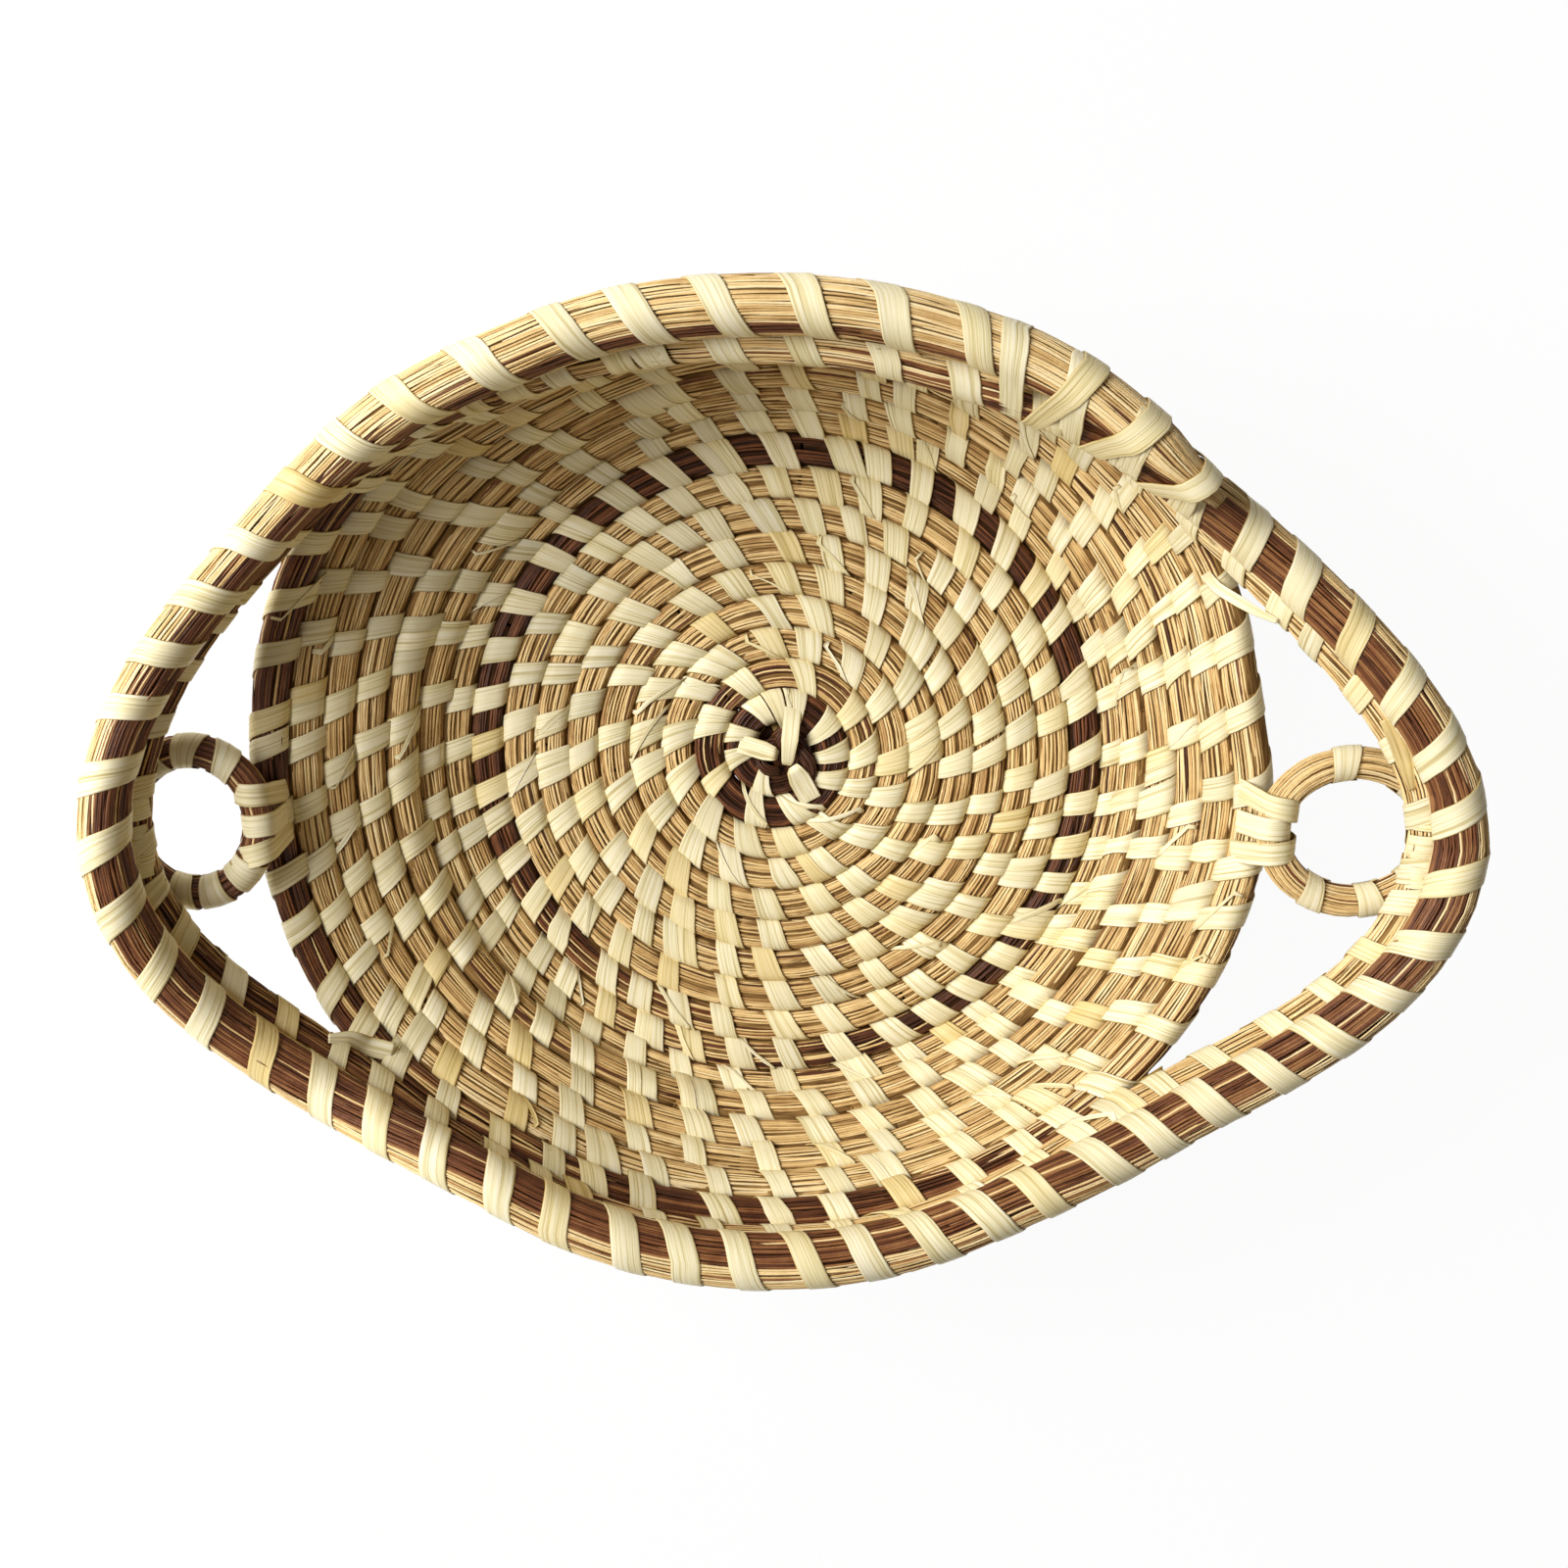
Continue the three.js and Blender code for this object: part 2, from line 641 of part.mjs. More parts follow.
// Rings, the strips wound on them, and the lashings that hold them to the body rim and the handle row
for (const name of ['left', 'right']) {
  const seat = ringSeat(name)
  const sections = ringSections(name)
  const boundRadius = ringRadius + ringStripClearance + stripThickness
  const onRing = (middle, sign) => (travel) => {
    return ringPoint(name, seat, middle + sign * travel / rings[name].halfWidth)
  }
  addPiece(`ring_${name}`, loft(sections, true), name === 'left' ? 'pineNeedle' : 'sweetgrass')
  addPiece(`ring_${name}_binding`, windStrip(sections, 0, ringSteps, ringWrapPitch,
    ringStripClearance, true), 'palmetto')
  addPiece(`ring_${name}_body_lashing`, lashPair({
    lower: alongCoil(seat.turns, rowPoint),
    upper: onRing(Math.PI, -1),
    lowerRadius: rowRadius,
    upperRadius: boundRadius,
    from: -lashSpacing,
    to: lashSpacing,
    wraps: lashWraps,
    clearance: lashClearance
  }), 'palmetto')
  addPiece(`ring_${name}_handle_lashing`, lashPair({
    lower: onRing(0, 1),
    upper: alongCoil(seat.turns + 1, coilPoint),
    lowerRadius: boundRadius,
    upperRadius: rowRadius,
    from: -lashSpacing,
    to: lashSpacing,
    wraps: lashWraps,
    clearance: lashClearance
  }), 'palmetto')
}

// The origin is at the middle of the underside of the basket's box
const box = new THREE.Box3().setFromObject(basket)
const middle = box.getCenter(new THREE.Vector3())
basket.position.set(-middle.x, -middle.y, -box.min.z)
basket.updateMatrixWorld(true)

export default basket
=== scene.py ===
# Coiled sweetgrass basket with a bowed handle and a small lashed ring at each end.
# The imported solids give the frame. This script lays the blades of grass and the pine needles along the
# same coil, and sews and winds it with split palmetto leaf. Sizes are in millimetres until a mesh is made.
import math
import random

import bpy
import numpy as np
from mathutils import Matrix, Vector


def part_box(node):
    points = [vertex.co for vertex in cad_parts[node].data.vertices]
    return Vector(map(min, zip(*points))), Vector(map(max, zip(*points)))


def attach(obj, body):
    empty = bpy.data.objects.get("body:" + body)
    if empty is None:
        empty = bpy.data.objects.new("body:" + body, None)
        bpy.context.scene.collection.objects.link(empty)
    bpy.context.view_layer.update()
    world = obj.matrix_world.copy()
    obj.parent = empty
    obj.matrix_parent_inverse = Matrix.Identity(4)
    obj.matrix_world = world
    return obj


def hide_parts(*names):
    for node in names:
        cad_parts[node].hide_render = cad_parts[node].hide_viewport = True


MM = 0.001

# The coil, as in the part's source
ROW_RADIUS = 4.15
RIM_RADIUS = {"side": 6.25, "back": 7.4, "front": 7.2}
RIM_END_TAPER = 1.0
RING_RADIUS = 4.4
KNOT_RADIUS = 1.35
ROW_GAP = 0.55
SEAM_GAP = 0.3
STRIP_THICKNESS = 0.5
STRIP_CLEARANCE = 0.35
RING_STRIP_CLEARANCE = 0.8
LASH_CLEARANCE = 0.45
STRIP_EASE = 0.15
LASHING_GAP = STRIP_THICKNESS + 2 * STRIP_CLEARANCE + STRIP_EASE
RING_GAP = STRIP_THICKNESS + STRIP_CLEARANCE + RING_STRIP_CLEARANCE + 3 * STRIP_EASE
RIM_GAP = 2 * STRIP_THICKNESS + 2 * LASH_CLEARANCE + STRIP_CLEARANCE + STRIP_EASE
FIRST_ROW_RADIUS = 15.2
FLAT_CUT = 0.5
AXIS_OFFSET = (-1.5, -0.3)
FLAT_ROWS = 9
TURN = {
    "start": 0.45,
    "sweetgrass": 2.35,
    "band": 8.35,
    "wall": 9.35,
    "body_rim_pine": 15.17,
    "handle_row": 15.6,
    "handle_left": 16.33,
    "rim": 16.7,
    "rim_full": 16.9,
    "overlap": 17.6,
    "tie": 17.82,
    "end": 17.92,
}
CORNER_SLOPE = 61
FLARE_SLOPE = {"side": 37, "back": 49, "front": 45.5}
UPRIGHT_SLOPE = {"side": 4.5, "back": 31, "front": 17}
HANDLE_SLOPE = {"side": 86, "back": 86, "front": 60}
RIM_START_SLOPE = 118
LAP_SLOPE = 62
TUCK_SLOPE = 92
# Degrees at some bearings: how much further the wall leans out, and the slope from handle row to rim
WALL_LEAN = [(9, -8), (28, 0), (118, 0), (150, 21), (180, 11), (206, 20), (238, 0), (352, 0)]
RIM_SLOPE = [(12, 60), (50, 85), (120, 87), (162, 84), (186, 74), (206, 60), (236, 93), (296, 93), (318, 72),
             (338, 70), (356, 67)]
HANDLES = {
    "right": {"bearing": -6, "ahead": 49, "behind": 53, "reach": 40},
    "left": {"bearing": 185.9, "ahead": 44, "behind": 52, "reach": 31},
}
BOW_SHARPNESS = 3.3
RINGS = {
    "right": {"bearing": -6.4, "half_length": 21.2, "half_width": 18.6, "outset": 3.2},
    "left": {"bearing": 185.2, "half_length": 17.6, "half_width": 19.4, "outset": 1.2},
}
RING_REACH = 0.02
RING_TURNS = 1.02
KNOT_GAP = 0.1
KNOT_LIFT = KNOT_RADIUS + 0.6
KNOT_FROM = 0.12
KNOT_TO = 1.9
KNOT_TWIST = 36
# The needles of the knot swell over the coil's start, which its solid can't
KNOT_SPREAD = 1.2
KNOT_SHOW = 1.6
KNOT_SWELL = 0.55
KNOT_LANES = 14
KNOT_CORE_PIECE = 12.0
STEPS_PER_TURN = 72
FINE_STEPS_PER_TURN = 360
BASE_STATION = 3
ROW_PITCH = 2 * ROW_RADIUS + ROW_GAP
ROW_HEIGHT = ROW_RADIUS * math.cos(math.pi / 6) - FLAT_CUT
HANDLE_RISE = 2 * (RING_RADIUS + RING_GAP) - LASHING_GAP
ROOM_SHIFT = ROW_PITCH / 4
ROOM_RADIUS = FIRST_ROW_RADIUS + ROW_PITCH * (TURN["start"] - 1) - ROW_RADIUS + ROOM_SHIFT
KNOT_SIZE = (ROOM_RADIUS - KNOT_RADIUS - KNOT_GAP) / 3

# Camera that the photograph was fitted with, before the part is moved to its centre
CAMERA_PLACE = (0.0, 83.0, 585.0)
CAMERA_TARGET = (0.0, 0.0, 65.0)
PHOTO_SIZE = 1600
FOCAL_PIXELS = 2132
SENSOR_WIDTH = 36.0

# Blades and needles
GRASS = {"half_width": (0.32, 0.46), "half_depth": (0.18, 0.26), "length": (50, 150)}
PINE = {"half_width": (0.36, 0.52), "half_depth": (0.26, 0.36), "length": (60, 140)}
LANES_PER_MM = 1.57
# Exponent of a bundle's section: pressed rows are squarer than the round rim
FLATNESS = {"base": 2.9, "wall": 2.5, "rim": 2.1}
# Between two stations a blade leaves its curve by an eighth of this, where the step's limits allow it
STATION_SAG = 0.4
STATION_STEP = (0.8, 4.0)
LANE_JITTER = 0.2
BLADE_OVERLAP = (2, 7)
SHORTEST_BLADE = 5
TAPER_LENGTH = 9.0
TAPER_TIP = 0.3
# Slow wandering of a blade between its neighbours, and in and out
WANDER_SHARE = 1.3
WANDER_LENGTH = 70
WAVE_DEPTH = 0.17
WAVE_LENGTH = 40
SKIN_SINK = 0.08
END_SINK = 0.35
# Shade of a blade, and the heights over which the rows grow lighter
TONE_SPREAD = 0.78
TONE_GAIN = 0.25
GAIN_HEIGHTS = (8, 45)
# Degrees round the bundle over which a strip shows, and the spacing that the blades are drawn in for
SHOWN_FROM = -20
SHOWN_SPAN = 190
MEAN_SPACING = 14.0
RIM_MEAN_SPACING = 18.0
# How far the strips draw the blades in, and how far the end of a loose blade stands off
PINCH_DEPTH = 0.42
LOOSE_LIFT = (0.5, 1.5)
LOOSE_LENGTH = 11.0
# The coil's tail under the knot, before its solid begins
TAIL_START = -0.3
TAIL_RADIUS = 1.9
# Turns at which the rim's wraps begin, lap over their start, and end
WRAPS_START = TURN["rim"] + 0.01
WRAPS_LAP = TURN["tie"] - 0.995
WRAPS_STOP = TURN["tie"] + 0.008
# The rim's last stretch narrows under its tie
TIED_END = (TURN["end"] - 0.042, TURN["end"] - 0.006)
TIED_END_SHARE = 0.35
RIM_STOP = TURN["end"] - 0.013
# Rows this far apart don't touch, as where the handles leave the body
OPEN_ROOM = 3
MOST_SWELL = 0.9
CORE_INSET = 0.55
CORE_OVERLAP = 0.12
CORE_SIDES = 14
CORE_PIECE = 50.0
CORE_LAP = 0.4
# Needle ends coiled under the knot
PAD_TURNS = (0.2, 2.7)
PAD_START = 1.0
PAD_PITCH = 3.7
PAD_HEIGHT = 1.0
PAD_SIZE = (2.2, 0.88)

# Palmetto strips
STITCH_WIDTH = (5.9, 7.3)
STITCH_FRONT = 6.4
RIM_WRAP_WIDTH = (6.6, 7.7)
RIM_WRAP_FRONT = 9.0
LEAF_THICKNESS = 0.32
BASE_STITCH_SPACING = 13.2
WALL_STITCH_SPACING = 16.6
LEAST_SPACING = 9.5
WIDEST_SPACING = (17.2, 21.0)
SPACING_SCATTER = (0.9, 1.1)
# Each stitch of an arm lies a little before the one below it
ARM_STEP = 0.8
ARM_SCATTER = 2.6
# The rim's wraps are closer at the near side and wider at the far side
RIM_WRAP_SPACING = 18.2
RIM_WRAP_CHANGE = 1.8
# Shares of the stitches that are wilted, doubled, or split along an edge
WILTED_SHARE = 0.08
DOUBLED_SHARE = 0.07
SPLIT_SHARE = 0.13
# Degrees down the row below at which stitches go in
STITCH_BITES = (3, 8, 15, 26, 38)
# A row with more room than this under it is wound, and not sewn to the row below
SEWN_ROOM = 2.2
# How much narrower or wider than round the row below can be taken to be
LEAST_GIVE = 0.4
MOST_GIVE = 0.6
# Width and offset of a second strip, as shares of the stitch's width
SECOND_STRIP = 0.62
# Stitches grow over these turns from narrow and steep ones round the knot
GROWING_STITCHES = (0.4, 2.6)
FIRST_WIDTH_SHARE = 0.68
FIRST_FRONT_SHARE = 0.6
FIRST_STITCHES = (0.08, 0.33, 0.49, 0.58, 0.69, 0.75, 0.81, 0.92, 1.01, 1.085)


def smooth(value, start, end):
    """Share from 0 to 1 of the way from start to end, for a number or an array, with soft ends."""
    share = np.clip((value - start) / (end - start), 0.0, 1.0)
    return share * share * (3 - 2 * share)


def mix(start, end, share):
    return start + (end - start) * share


def round_basket(values, bearing):
    """A value that changes round the basket from its sides to its back or front."""
    sine = math.sin(bearing)
    end = values["back"] if sine > 0 else values["front"]
    return mix(values["side"], end, sine * sine)


def at_bearing(places, bearing):
    """A value given at some bearings in degrees, which changes smoothly from one to the next."""
    degrees = math.degrees(bearing) % 360
    around = [(places[-1][0] - 360, places[-1][1])] + places + [(places[0][0] + 360, places[0][1])]
    for (start, low), (end, high) in zip(around, around[1:]):
        if degrees <= end:
            return mix(low, high, smooth(degrees, start, end))
    return around[-1][1]


def bundle_radius(turns):
    """Radius of the coil's bundle at a turn count."""
    here = round_basket(RIM_RADIUS, -2 * math.pi * turns)
    full = mix(ROW_RADIUS, here, smooth(turns, TURN["rim"] - 0.1, TURN["rim_full"]))
    full = mix(TAIL_RADIUS, full, smooth(turns, TAIL_START, TURN["start"]))
    return full - RIM_END_TAPER * smooth(turns, TURN["overlap"], TURN["end"])


def gap_below(turns):
    """Room between a row and the one below it at a turn count."""
    pine = TURN["body_rim_pine"]
    body = mix(ROW_GAP, LASHING_GAP, smooth(turns, pine - 0.5, pine - 0.22))
    return mix(body, RIM_GAP, smooth(turns, TURN["rim"] - 0.05, TURN["rim"] + 0.05))


def stack_angle(turns, bearing):
    """Direction, from level, in which a row lies from the row below it."""
    middle = turns - 0.5
    upright = round_basket(UPRIGHT_SLOPE, bearing) * smooth(middle, 12, 14.5)
    wall = round_basket(FLARE_SLOPE, bearing) + upright - at_bearing(WALL_LEAN, bearing)
    angle = CORNER_SLOPE * smooth(middle, 9.4, 10.7)
    angle = mix(angle, wall + angle - CORNER_SLOPE, smooth(middle, 10.5, 11.5))
    handle = round_basket(HANDLE_SLOPE, bearing)
    angle = mix(angle, handle, smooth(turns, TURN["handle_row"] - 0.1, TURN["handle_row"] + 0.1))
    angle = mix(angle, RIM_START_SLOPE, smooth(turns, TURN["rim"] - 0.1, TURN["rim"] + 0.05))
    rim = at_bearing(RIM_SLOPE, bearing)
    angle = mix(angle, rim, smooth(turns, TURN["rim"] + 0.1, TURN["rim"] + 0.22))
    lap = mix(LAP_SLOPE, TUCK_SLOPE, smooth(turns, TURN["tie"], TURN["end"]))
    return math.radians(mix(angle, lap, smooth(turns, TURN["overlap"] - 0.05, TURN["overlap"] + 0.1)))


def body_turn_at(bearing):
    """Turn count at which the body rim passes a bearing in degrees."""
    return 15.5 - ((bearing + 180) % 360) / 360


def bow_share(handle, turns):
    """Share of a handle's bow at a turn count, from 0 at the body to 1 at its tip."""
    offset = 360 * (body_turn_at(handle["bearing"]) + 1 - turns)
    span = handle["ahead"] if offset > 0 else handle["behind"]
    if abs(offset) >= span:
        return 0
    return math.cos(math.pi / 2 * offset / span) ** BOW_SHARPNESS


def make_coil():
    """Distance from the axis and height of the coil's centre line at each step."""
    radii = []
    heights = []
    for step in range(round(TURN["end"] * STEPS_PER_TURN) + 1):
        turns = step / STEPS_PER_TURN
        if turns < FLAT_ROWS:
            radii.append(FIRST_ROW_RADIUS + ROW_PITCH * (turns - 1))
            heights.append(ROW_HEIGHT)
            continue
        angle = stack_angle(turns, -2 * math.pi * turns)
        pitch = bundle_radius(turns - 1) + bundle_radius(turns) + gap_below(turns)
        shares = {name: bow_share(handle, turns) for name, handle in HANDLES.items()}
        reach = sum(HANDLES[name]["reach"] * share for name, share in shares.items())
        rise = HANDLE_RISE * sum(shares.values())
        radii.append(radii[step - STEPS_PER_TURN] + pitch * math.cos(angle) + reach)
        heights.append(heights[step - STEPS_PER_TURN] + pitch * math.sin(angle) + rise)
    return np.array(radii), np.array(heights)


COIL_RADII, COIL_HEIGHTS = make_coil()
COIL_TURNS = np.arange(len(COIL_RADII)) / STEPS_PER_TURN


def radial_at(turns):
    """Level directions away from the basket's axis at an array of turn counts."""
    bearing = -2 * np.pi * turns
    return np.stack([np.cos(bearing), np.sin(bearing), np.zeros_like(bearing)], -1)


def coil_points(turns):
    """Points on the coil's centre line at an array of turn counts."""
    turns = np.asarray(turns, float)
    tail_radius = FIRST_ROW_RADIUS + ROW_PITCH * (turns - 1)
    radius = np.where(turns < 0, tail_radius, np.interp(turns, COIL_TURNS, COIL_RADII))
    points = radial_at(turns) * radius[..., None] + (*AXIS_OFFSET, 0.0)
    points[..., 2] = np.interp(turns, COIL_TURNS, COIL_HEIGHTS)
    return points


def part_shift():
    """How far the part's source moved the basket to centre it, from the box of the base coil."""
    low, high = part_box("base_coil")
    stations = STEPS_PER_TURN / BASE_STATION
    first = math.ceil(TURN["sweetgrass"] * stations + 0.1)
    last = math.floor(TURN["band"] * stations)
    turns = np.arange(first, last + 1) / stations
    reach = (coil_points(turns) + ROW_RADIUS * radial_at(turns))[:, :2]
    own = (reach.min(0) + reach.max(0)) / 2
    packed = np.array([(low.x + high.x) / 2, (low.y + high.y) / 2]) / MM
    return np.array([packed[0] - own[0], packed[1] - own[1], 0.0])


def unit(vectors):
    return vectors / np.linalg.norm(vectors, axis=-1, keepdims=True)


def wavy(travel, draw, length, parts=3):
    """Slow smooth wandering between about -1 and 1 along a length."""
    total = np.zeros_like(travel)
    for _ in range(parts):
        wave = length * draw.uniform(0.6, 1.7)
        total += np.sin(2 * np.pi * travel / wave + draw.uniform(0, 6.3))
    return total / parts


class Route:
    """Centre line of a bundle, with the directions ahead, out and up at each station.
    Out points away from the row that this one is sewn to, and up is the side that the photograph shows.
    Wide and tall are the bundle's half sizes in those two directions."""

    def __init__(self, centre, out, wide, tall, pitch, turns=None):
        ahead = unit(np.gradient(centre, axis=0))
        out = unit(out - ahead * np.sum(out * ahead, -1, keepdims=True))
        self.centre = centre
        self.out = out
        self.up = np.cross(ahead, out)
        self.wide = wide
        self.tall = tall
        self.under = np.clip((centre[:, 2] - 0.05) / (tall + 0.4), 0.1, 1.0)
        self.pitch = pitch
        self.turns = turns
        self.power = np.ones(len(centre))
        self.core_wide = wide - CORE_INSET
        step = np.linalg.norm(np.diff(centre, axis=0), axis=1)
        self.travel = np.concatenate([[0], np.cumsum(step)])
        self.pinch = np.zeros(len(centre))
        bend = np.linalg.norm(np.gradient(ahead, axis=0), axis=1)
        curl = bend / np.maximum(np.gradient(self.travel), 1e-6)
        self.curve_radius = 1 / np.maximum(curl, 1e-4)

    def at(self, travel, values):
        if values.ndim == 1:
            return np.interp(travel, self.travel, values)
        return np.stack([np.interp(travel, self.travel, column) for column in values.T], -1)

    def of_turn(self, turns):
        return float(np.interp(turns, self.turns, self.travel))

    def turn_at(self, travel):
        return float(np.interp(travel, self.travel, self.turns))

    def stations(self, low, high, lap=0.0):
        """Places along a stretch of the bundle, closer together where it is bent tight."""
        bend = self.at((low + high) / 2, self.curve_radius)
        step = float(np.clip(np.sqrt(STATION_SAG * bend), *STATION_STEP))
        return np.linspace(low - lap, high + lap, max(3, round((high - low) / step) + 1))

    def sizes_at(self, place):
        """Half sizes, distance from the row below and power of the section at a place."""
        sizes = (self.wide, self.tall, self.pitch, self.power)
        return (float(self.at(place, values)) for values in sizes)

    def spot(self, travel, outward, upward):
        """Points beside the centre line. The part below it is flattened where the basket stands."""
        upward = np.where(upward < 0, upward * self.at(travel, self.under), upward)
        points = self.at(travel, self.centre) + self.at(travel, self.out) * outward[..., None]
        points = points + self.at(travel, self.up) * upward[..., None]
        points[..., 2] = np.maximum(points[..., 2], 0.03)
        return points

    def pinched_by(self, places, reach=3.4):
        """The bundle is drawn in where strips go round it."""
        for place in places:
            self.pinch = np.maximum(self.pinch, np.exp(-((self.travel - place) / reach) ** 2))


def coil_route():
    """The whole coil from its tail under the knot to the end of the rim."""
    turns = np.arange(TAIL_START, TURN["end"] + 1e-9, 1 / FINE_STEPS_PER_TURN)
    centre = coil_points(turns) + SHIFT
    below = coil_points(turns - 1) + SHIFT
    flat = (turns < FLAT_ROWS)[:, None]
    out = np.where(flat, radial_at(turns), centre - below)
    radius = np.array([bundle_radius(value) for value in turns])
    radius = radius * mix(1, TIED_END_SHARE, smooth(turns, *TIED_END))
    pitch = np.where(turns < FLAT_ROWS, ROW_PITCH, np.linalg.norm(centre - below, axis=1))
    # Neighbouring rows touch, which the solids don't
    room = pitch - radius - np.array([bundle_radius(value - 1) for value in turns])
    room[turns < 0.7] = 0
    room[room > OPEN_ROOM] = 0
    room_above = np.interp(turns + 1, turns, room, right=0)
    wide = radius + np.clip(np.maximum(room, room_above) / 2, 0, MOST_SWELL)
    route = Route(centre, out, wide, radius, pitch, turns)
    on_wall = np.clip((turns - 9) / 2, 0, 1)
    on_rim = np.clip((turns - TURN["rim"] + 0.1) / 0.2, 0, 1)
    exponent = mix(mix(FLATNESS["base"], FLATNESS["wall"], on_wall), FLATNESS["rim"], on_rim)
    route.power = 2 / exponent
    # Inside the body the dark-painted middles of neighbouring rows meet, so nothing shows through between
    # them; their darkness is painted shade
    route.core_wide = wide + np.where((turns > 0.9) & (turns < 15.0), CORE_OVERLAP, -CORE_INSET)
    return route


def knot_route():
    """The overhand knot, as in the part's source."""
    turn = -2 * math.pi * TURN["start"]
    middle = np.array([*AXIS_OFFSET, KNOT_LIFT + KNOT_RADIUS + SEAM_GAP + KNOT_SHOW]) + SHIFT
    middle[0] += ROOM_SHIFT * (-math.cos(turn) - math.sin(turn))
    middle[1] += ROOM_SHIFT * (-math.sin(turn) + math.cos(turn))
    angle = np.linspace(KNOT_FROM, KNOT_TO, 130) * np.pi
    flat_x = KNOT_SPREAD * KNOT_SIZE * (np.sin(angle) + 2 * np.sin(2 * angle))
    flat_y = KNOT_SPREAD * KNOT_SIZE * (np.cos(angle) - 2 * np.cos(2 * angle))
    twist = math.radians(KNOT_TWIST)
    centre = middle + np.stack([
        flat_x * math.cos(twist) - flat_y * math.sin(twist),
        flat_x * math.sin(twist) + flat_y * math.cos(twist),
        -KNOT_LIFT * np.sin(3 * angle)], -1)
    sideways = np.cross(np.gradient(centre, axis=0), (0, 0, 1))
    size = np.full(len(centre), KNOT_RADIUS + KNOT_SWELL)
    return Route(centre, sideways, size, size, size)


def pad_route():
    """The starting needles' ends, coiled flat under the knot."""
    turns = np.linspace(*PAD_TURNS, 150)
    radial = radial_at(turns)
    middle = np.array([*AXIS_OFFSET, PAD_HEIGHT]) + SHIFT
    centre = radial * (PAD_START + PAD_PITCH * turns)[:, None] + middle
    wide, tall = (np.full(len(centre), value) for value in PAD_SIZE)
    return Route(centre, radial, wide, tall, wide)


def ring_route(name):
    """A ring's centre line, from its outer side round to its outer side again and a little further."""
    ring = RINGS[name]
    turns = body_turn_at(ring["bearing"])
    near = coil_points([turns - RING_REACH, turns, turns + RING_REACH]) + SHIFT
    along = unit(near[2] - near[0])
    outward = unit(np.array([along[1], -along[0], 0.0]))
    if np.dot(outward, near[1] - SHIFT) < 0:
        outward = -outward
    centre = near[1] + outward * (ring["half_length"] + ring["outset"])
    centre[2] += ROW_RADIUS + RING_GAP + RING_RADIUS
    above = np.cross(outward, along)
    above = above * np.sign(above[2])
    turn = np.linspace(0, RING_TURNS, 180)
    angle = 2 * np.pi * turn
    points = centre + outward * (ring["half_length"] * np.cos(angle))[:, None]
    points = points + along * (ring["half_width"] * np.sin(angle))[:, None]
    size = np.full(len(points), RING_RADIUS)
    route = Route(points, points - centre, size, size, size, turn)
    # Up is the side that the photograph shows
    if route.up[0] @ above < 0:
        route.up = -route.up
    return route, centre, outward, along


class Pile:
    """Points, faces and per-point notes collected for one mesh."""

    def __init__(self):
        self.points = []
        self.quads = []
        self.caps = []
        self.quad_slots = []
        self.cap_slots = []
        self.tone = []
        self.depth = []
        self.leaf = []
        self.count = 0

    def add_tube(self, rings, slot, tone, depth=1.0, leaf=0.0):
        """A closed tube through an array of rings, shape (stations, sides, 3)."""
        stations, sides, _ = rings.shape
        index = self.count + np.arange(stations * sides).reshape(stations, sides)
        after = np.roll(index, -1, axis=1)
        quads = np.stack([index[:-1], after[:-1], after[1:], index[1:]], -1).reshape(-1, 4)
        middle = rings.mean(1)
        spokes = rings[0] - middle[0]
        turned = np.cross(spokes, np.roll(spokes, -1, axis=0)).sum(0) @ (middle[1] - middle[0]) > 0
        self.points.append(rings.reshape(-1, 3))
        self.quads.append(quads if turned else quads[:, ::-1])
        self.quad_slots.append(np.full(len(quads), slot))
        self.caps.append(index[0][::-1] if turned else index[0])
        self.caps.append(index[-1] if turned else index[-1][::-1])
        self.cap_slots += [slot, slot]
        self.tone.append(np.full(stations * sides, tone))
        self.depth.append(np.broadcast_to(depth, (stations, sides)).reshape(-1))
        self.leaf.append(np.broadcast_to(leaf, (stations, sides, 2)).reshape(-1, 2))
        self.count += stations * sides

    def make(self, name, materials, slot, nodes=()):
        """The mesh object, in metres, riding on the basket and standing for some of its solids."""
        mesh = bpy.data.meshes.new(name)
        points = np.concatenate(self.points) * MM
        quads = np.concatenate(self.quads)
        cap_sizes = np.array([len(cap) for cap in self.caps])
        corners = np.concatenate([quads.reshape(-1)] + self.caps)
        sizes = np.concatenate([np.full(len(quads), 4), cap_sizes])
        starts = np.concatenate([[0], np.cumsum(sizes)[:-1]])
        slots = np.concatenate(self.quad_slots + [np.array(self.cap_slots)])
        mesh.vertices.add(len(points))
        mesh.vertices.foreach_set("co", points.reshape(-1).astype(np.float32))
        mesh.loops.add(len(corners))
        mesh.loops.foreach_set("vertex_index", corners.astype(np.int32))
        mesh.polygons.add(len(sizes))
        mesh.polygons.foreach_set("loop_start", starts.astype(np.int32))
        mesh.polygons.foreach_set("material_index", slots.astype(np.int32))
        mesh.update(calc_edges=True)
        mesh.polygons.foreach_set("use_smooth", np.ones(len(sizes), bool))
        for label, values in (("tone", self.tone), ("depth", self.depth)):
            layer = mesh.attributes.new(label, "FLOAT", "POINT")
            layer.data.foreach_set("value", np.concatenate(values).astype(np.float32))
        layer = mesh.uv_layers.new(name="leaf")
        leaf = np.concatenate(self.leaf)[corners]
        layer.data.foreach_set("uv", leaf.reshape(-1).astype(np.float32))
        for material in materials:
            mesh.materials.append(material)
        piece = bpy.data.objects.new(name, mesh)
        bpy.context.scene.collection.objects.link(piece)
        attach(piece, "root")
        if nodes:
            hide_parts(*nodes)


# Blades of grass and pine needles

